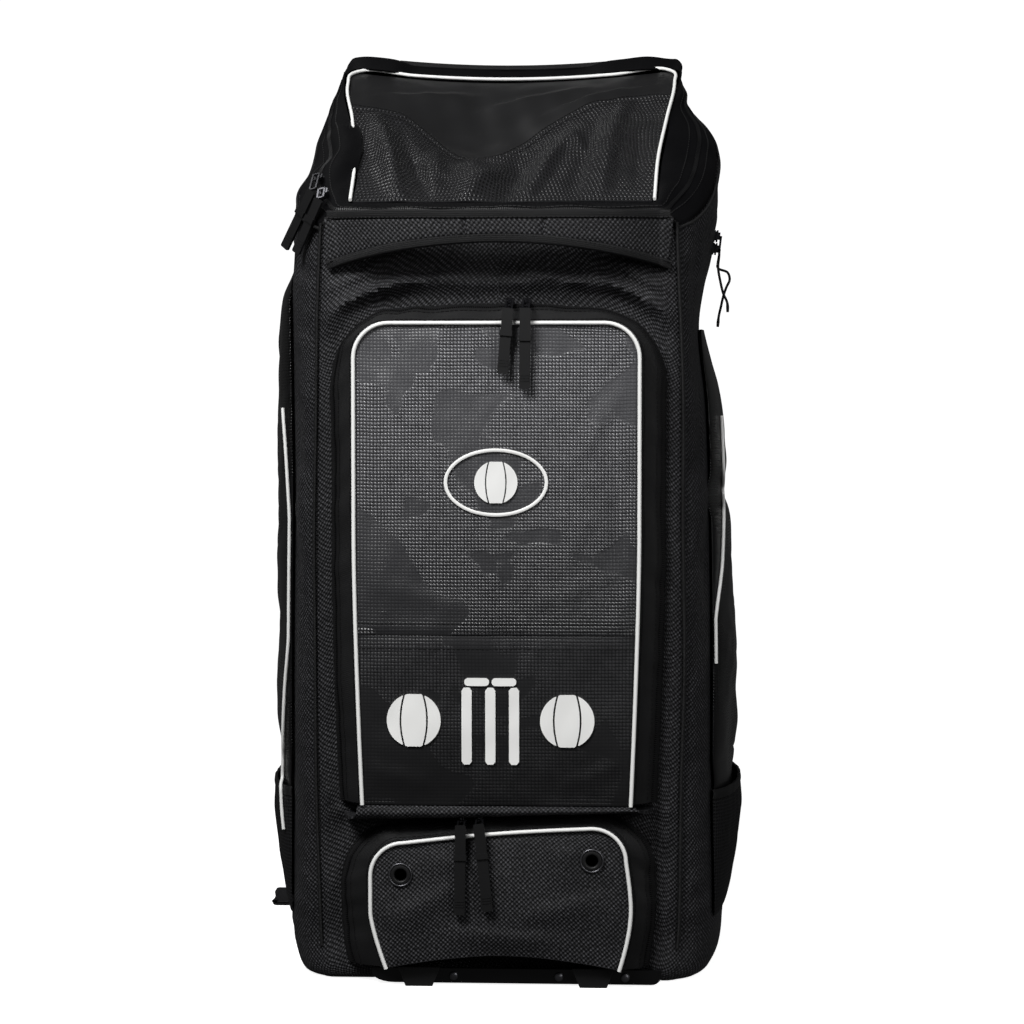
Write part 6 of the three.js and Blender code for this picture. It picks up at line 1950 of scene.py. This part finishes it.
@dataclass
class ZipPulls:
    """Sliders of all the zips and the rubber pulls that hang from them."""

    form: BodyForm
    width: float = 9.6
    thickness: float = 2.6
    slider_width: float = 8.4
    slider_height: float = 4.0
    up: float = 5.0
    down: float = 6.0
    bridge: float = 2.0
    link: float = 1.8
    seat: float = 0.6

    def slider(self, name: str, place: Grid, drop: float, down: Grid, out: Grid) -> None:
        """Builds a slider with its bridge, and the ring-shaped link down to the pull.

        Args:
            name: name of the solid that it stands for.
            place: middle of its underside.
            drop: length of the link.
            down: direction of the link.
            out: direction away from the cloth.
        """
        at = lay(place, down, out)
        upright = at @ Matrix.Rotation(math.pi / 2, 4, "X")
        half, height = self.slider_width / 2, self.slider_height
        body = [(-half * 0.7, -self.down), (half * 0.7, -self.down), (half, -1), (half, self.up - 1.5),
                (half * 0.6, self.up), (-half * 0.6, self.up), (-half, self.up - 1.5), (-half, -1)]
        shape = Shaper().prism(body, 0, 1.5, upright, 0.4)
        shape.prism(body, height - 1.6, height, upright, 0.5)
        shape.box((-1.2, -height, -4.5), (1.2, -0.5, 4), at, 0.2, 1)
        shape.box((-1.4, -height - self.bridge, -3.6), (1.4, -height + 0.4, 3.2), at, 0.7)
        top = height + self.bridge
        outer, inner = half - 0.6, half - 2.1
        for low, high in ((-outer, -inner), (inner, outer)):
            shape.box((low, -top - self.link, -drop), (high, -top + 0.1, 0), at, 0.35)
        shape.box((-outer, -top - self.link, -2.0), (outer, -top + 0.1, 0), at, 0.35)
        shape.box((-outer, -top - self.link, -drop), (outer, -top + 0.1, 1.9 - drop), at, 0.35)
        present(shape.finish(name.replace("slider", "zip_slider")), ZINC, name)

    def pull(self, name: str, top: Grid, end: Grid, out: Grid) -> None:
        """Builds a flat rubber pull with a keeper and a ribbed grip."""
        length = float(np.linalg.norm(end - top))
        at = lay(top, end - top, out)
        upright = at @ Matrix.Rotation(math.pi / 2, 4, "X")
        half, thick = self.width / 2, self.thickness / 2
        tag = [(-half + 1, -length), (half - 1, -length), (half, 1 - length), (half, -0.8), (half - 0.8, 0),
               (0.8 - half, 0), (-half, -0.8), (-half, 1 - length)]
        shape = Shaper().prism(tag, -thick, thick, upright, 0.5)
        drop = -min(26, length / 3)
        shape.box((-half - 0.8, -3, drop - 5), (half + 0.8, thick, drop), at, 0.7, 3)
        for k in range(3):
            low = 7 - length + k * 2.4
            shape.box((0.9 - half, -thick - 0.45, low), (half - 0.9, -thick + 0.3, low + 1.1), at, 0.3, 1)
        present(shape.finish(name.replace("pull", "rubber_pull")), RUBBER, name)

    def arch_pulls(self, pocket: ArchPocket, rows: Sequence[tuple[str, float, float, float]]) -> None:
        """Builds the two sliders at the top of an arched pocket, with their pulls.

        Args:
            pocket: the pocket.
            rows: name, place across, length of the pull and swing of its end.
        """
        hang = -(pocket.front + pocket.reach + CLOTH + 2 * pocket.piping + self.thickness / 2 + 1 + pocket.crown)
        for word, x, length, swing in rows:
            tops = []
            for shape in (pocket.seam, pocket.face):
                across = (x / (shape.half - shape.rounding) + 1) / 2
                tops.append(shape.left_top + (shape.right_top - shape.left_top) * across + shape.top_arch)
            foot = np.array([x, -(pocket.front + GAP + pocket.stand), tops[0]])
            edge = np.array([x, -(pocket.front + pocket.reach - pocket.stand), tops[1]])
            middle = foot + (edge - foot) * 0.55 + (foot - edge) * [0.2, 0, 0.2]
            slope = unit(middle - foot)
            out = np.array([0, slope[2], -slope[1]])
            place = foot + (middle - foot) * 0.6 + out * self.seat
            rise = self.slider_height + self.bridge + self.link
            drop = (hang + self.thickness / 2 + GAP - slope[2] * rise - place[1]) / slope[1]
            self.slider(f"{pocket.prefix}_slider_{word}", place, drop, slope, out)
            high = (place + slope * drop + out * rise)[2] + 1
            top = np.array([x, hang, high])
            end = top + [swing, 0, -math.sqrt(length**2 - swing**2)]
            self.pull(f"{pocket.prefix}_pull_{word}", top, end, np.array([0, -1.0, 0]))

    def top_pulls(self) -> None:
        """Builds the two sliders of the main zip at the left, whose pulls hang past the corner."""
        for word, column, start, fall in (("upper", 6, (-3, -34, -12), (-27, 18, -50)),
                                          ("lower", 5, (-2, -21.5, -5.5), (-23, 14, -47))):
            g = self.form.gusset
            slope = g(-1, column, 0.2) - g(-1, column, 0.8)
            out = unit(np.cross(g(-1, column + 1, 0.5) - g(-1, column - 1, 0.5), slope))
            place = g(-1, column, 0.5) + out * self.seat
            top = place + start
            down = top - (place + out * (self.slider_height + self.bridge))
            down = down - out * down.dot(out)
            drop = float(np.linalg.norm(down)) - self.width * 0.42
            self.slider(f"top_slider_{word}", place, drop, down, out)
            self.pull(f"top_pull_{word}", top, top + fall, np.array([-0.6, -0.8, 0]))

    def side_sliders(self) -> None:
        """Builds the two sliders of the right side zip."""
        for word, forward, fall in (("upper", 46, 58.3), ("lower", 34, 76.1)):
            place, down, out = side_slider_place(self.form, forward, fall)
            self.slider(f"side_slider_{word}", place, SIDE_LINK, down, out)


SIDE_LINK = 14.0


def side_slider_place(form: BodyForm, forward: float, fall: float) -> tuple[Grid, Grid, Grid]:
    """Place of a side slider, its fall below the wall's top, and its down and out directions."""
    def at(z: float) -> Grid:
        return np.array([float(form.side_x(1, -forward, z)), -forward, z])

    middle = at(form.front_top + (form.back_top - form.front_top) * (1 - forward / form.depth) / 2 - fall)
    down = unit(at(middle[2] - 6) - at(middle[2] + 5))
    out = np.array([-down[2], 0, down[0]])
    bulge = max(float((at(middle[2] + step) - middle).dot(out)) for step in (-6, -3, 0, 3, 5))
    return middle + out * (bulge + 0.6), down, out


@dataclass
class CordPulls:
    """The thin cords that hang from the right side's sliders, knotted at their ends."""

    form: BodyForm
    radius: float = 1.2
    routes: tuple[tuple[str, float, float, tuple[tuple[float, float], ...]], ...] = (
        ("upper", 46, 58.3, ((-1, -14), (1, -27), (4, -39), (7.5, -47), (8, -56))),
        ("lower", 34, 76.1, ((10, -8), (11.5, -14), (8.5, -21), (5.5, -30), (3.5, -39), (1.5, -48), (0.5, -58))),
    )

    def build(self) -> None:
        for word, forward, fall, route in self.routes:
            place, down, out = side_slider_place(self.form, forward, fall)
            hole = place + down * (SIDE_LINK + GAP) + out * (4 + 2 + 0.9)
            points = [hole, hole - [0, 0, 2.4], *(hole + [x, 0, z] for x, z in route)]
            path = resample(points, 2.2)
            swell = np.ones(len(path))
            swell[-4:-1] = (1.15, 1.25, 1.15)
            cord = present(rod(f"thin_cord_{word}", path, self.radius * swell, 10), BRAID, f"cord_pull_{word}")


@dataclass
class Studio:
    """Camera, soft lights and pale floor."""

    target: tuple[float, float, float] = (0.0042, 0.0, 0.416)
    distance: float = 2.6
    azimuth: float = 3.0
    elevation: float = 3.0
    lens: float = 96.2

    def camera(self) -> None:
        """Makes the camera at the photograph's angle."""
        data = bpy.data.cameras.new("camera")
        data.lens, data.sensor_width = self.lens, 36.0
        made = bpy.data.objects.new("camera", data)
        bpy.context.scene.collection.objects.link(made)
        az, el = math.radians(self.azimuth), math.radians(self.elevation)
        ahead = Vector((-math.sin(az) * math.cos(el), math.cos(az) * math.cos(el), -math.sin(el)))
        made.location = Vector(self.target) - ahead * self.distance
        made.rotation_euler = ahead.to_track_quat("-Z", "Y").to_euler()
        bpy.context.scene.camera = made

    def lamp(self, name: str, place: Sequence[float], size: tuple[float, float], power: float) -> None:
        """Makes a soft box that faces the bag."""
        data = bpy.data.lights.new(name, "AREA")
        data.shape, data.size, data.size_y, data.energy = "RECTANGLE", *size, power
        made = bpy.data.objects.new(name, data)
        bpy.context.scene.collection.objects.link(made)
        made.location = place
        made.rotation_euler = (Vector((0, 0, 0.45)) - Vector(place)).to_track_quat("-Z", "Y").to_euler()

    def build(self) -> None:
        """Makes the camera, the lights, the floor and the pale surroundings."""
        self.camera()
        self.lamp("key_box", (-0.75, -1.55, 1.95), (0.9, 0.7), 52)
        self.lamp("fill_box", (1.6, -1.9, 1.3), (0.6, 1.4), 17)
        self.lamp("top_box", (-0.85, 0.6, 2.1), (0.35, 0.35), 2.4)
        world = bpy.data.worlds.new("studio")
        world.use_nodes = True
        world.node_tree.nodes["Background"].inputs[0].default_value = (1, 1, 1, 1)
        world.node_tree.nodes["Background"].inputs[1].default_value = 0.07
        bpy.context.scene.world = world
        bpy.context.scene.view_settings.view_transform = "Standard"
        self.backdrop()

    def backdrop(self) -> None:
        """Makes the sweep of white paper that the bag stands on, lit by itself for the camera alone."""
        turn = np.linspace(0, math.pi / 2, 16)
        bend = [(2500 + 2000 * math.sin(a), 2000 * (1 - math.cos(a))) for a in turn]
        profile = [(-6000, 0), *bend, (4500, 6000)]
        points = [(x, y, z) for y, z in profile for x in (-9000, 9000)]
        faces = [[2 * k, 2 * k + 1, 2 * k + 3, 2 * k + 2] for k in range(len(profile) - 1)]
        sweep = to_object("studio_sweep", np.array(points, float), faces)
        paper = bpy.data.materials.new("studio_paper")
        paper.use_nodes = True
        shader = paper.node_tree.nodes["Principled BSDF"]
        shader.inputs["Base Color"].default_value = linear("e6e6e6")
        shader.inputs["Emission Color"].default_value = (1, 1, 1, 1)
        shader.inputs["Emission Strength"].default_value = 0.9
        sweep.data.materials.append(paper)
        sweep.visible_diffuse = False
        sweep.visible_glossy = False
        sweep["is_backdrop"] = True


def main() -> dict:
    """Builds the whole bag in order.

    Returns:
        The box of the solids, as loaded.
    """
    logging.basicConfig(level=logging.INFO, format="%(message)s")
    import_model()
    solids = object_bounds()
    form, trim = BodyForm(), Trim()
    Studio().build()
    CordPulls(form).build()
    BagBody(form, trim).build()
    Lid(form, trim).build()
    HaulHandle(trim).build()
    front = FrontPocket(trim, POCKET_SEAM, POCKET_FACE, 34, 4, "front")
    front.build()
    shoe = ShoePocket(trim, SHOE_SEAM, SHOE_FACE, 34, 7, "shoe")
    shoe.build()
    SidePockets(form, trim).build()
    BaseTray().build()
    BackHarness(trim).build()
    pulls = ZipPulls(form)
    pulls.arch_pulls(front, (("left", 11, 58, -5), ("right", 26, 71, -0.5)))
    pulls.arch_pulls(shoe, (("left", -31, 80, -1), ("right", -15, 78, 8)))
    pulls.top_pulls()
    pulls.side_sliders()
    trim.build()
    sizes = {"solids": [list(corner) for corner in solids], "dressed": [list(corner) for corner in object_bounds()]}
    return sizes


if __name__ == "__main__":
    main()
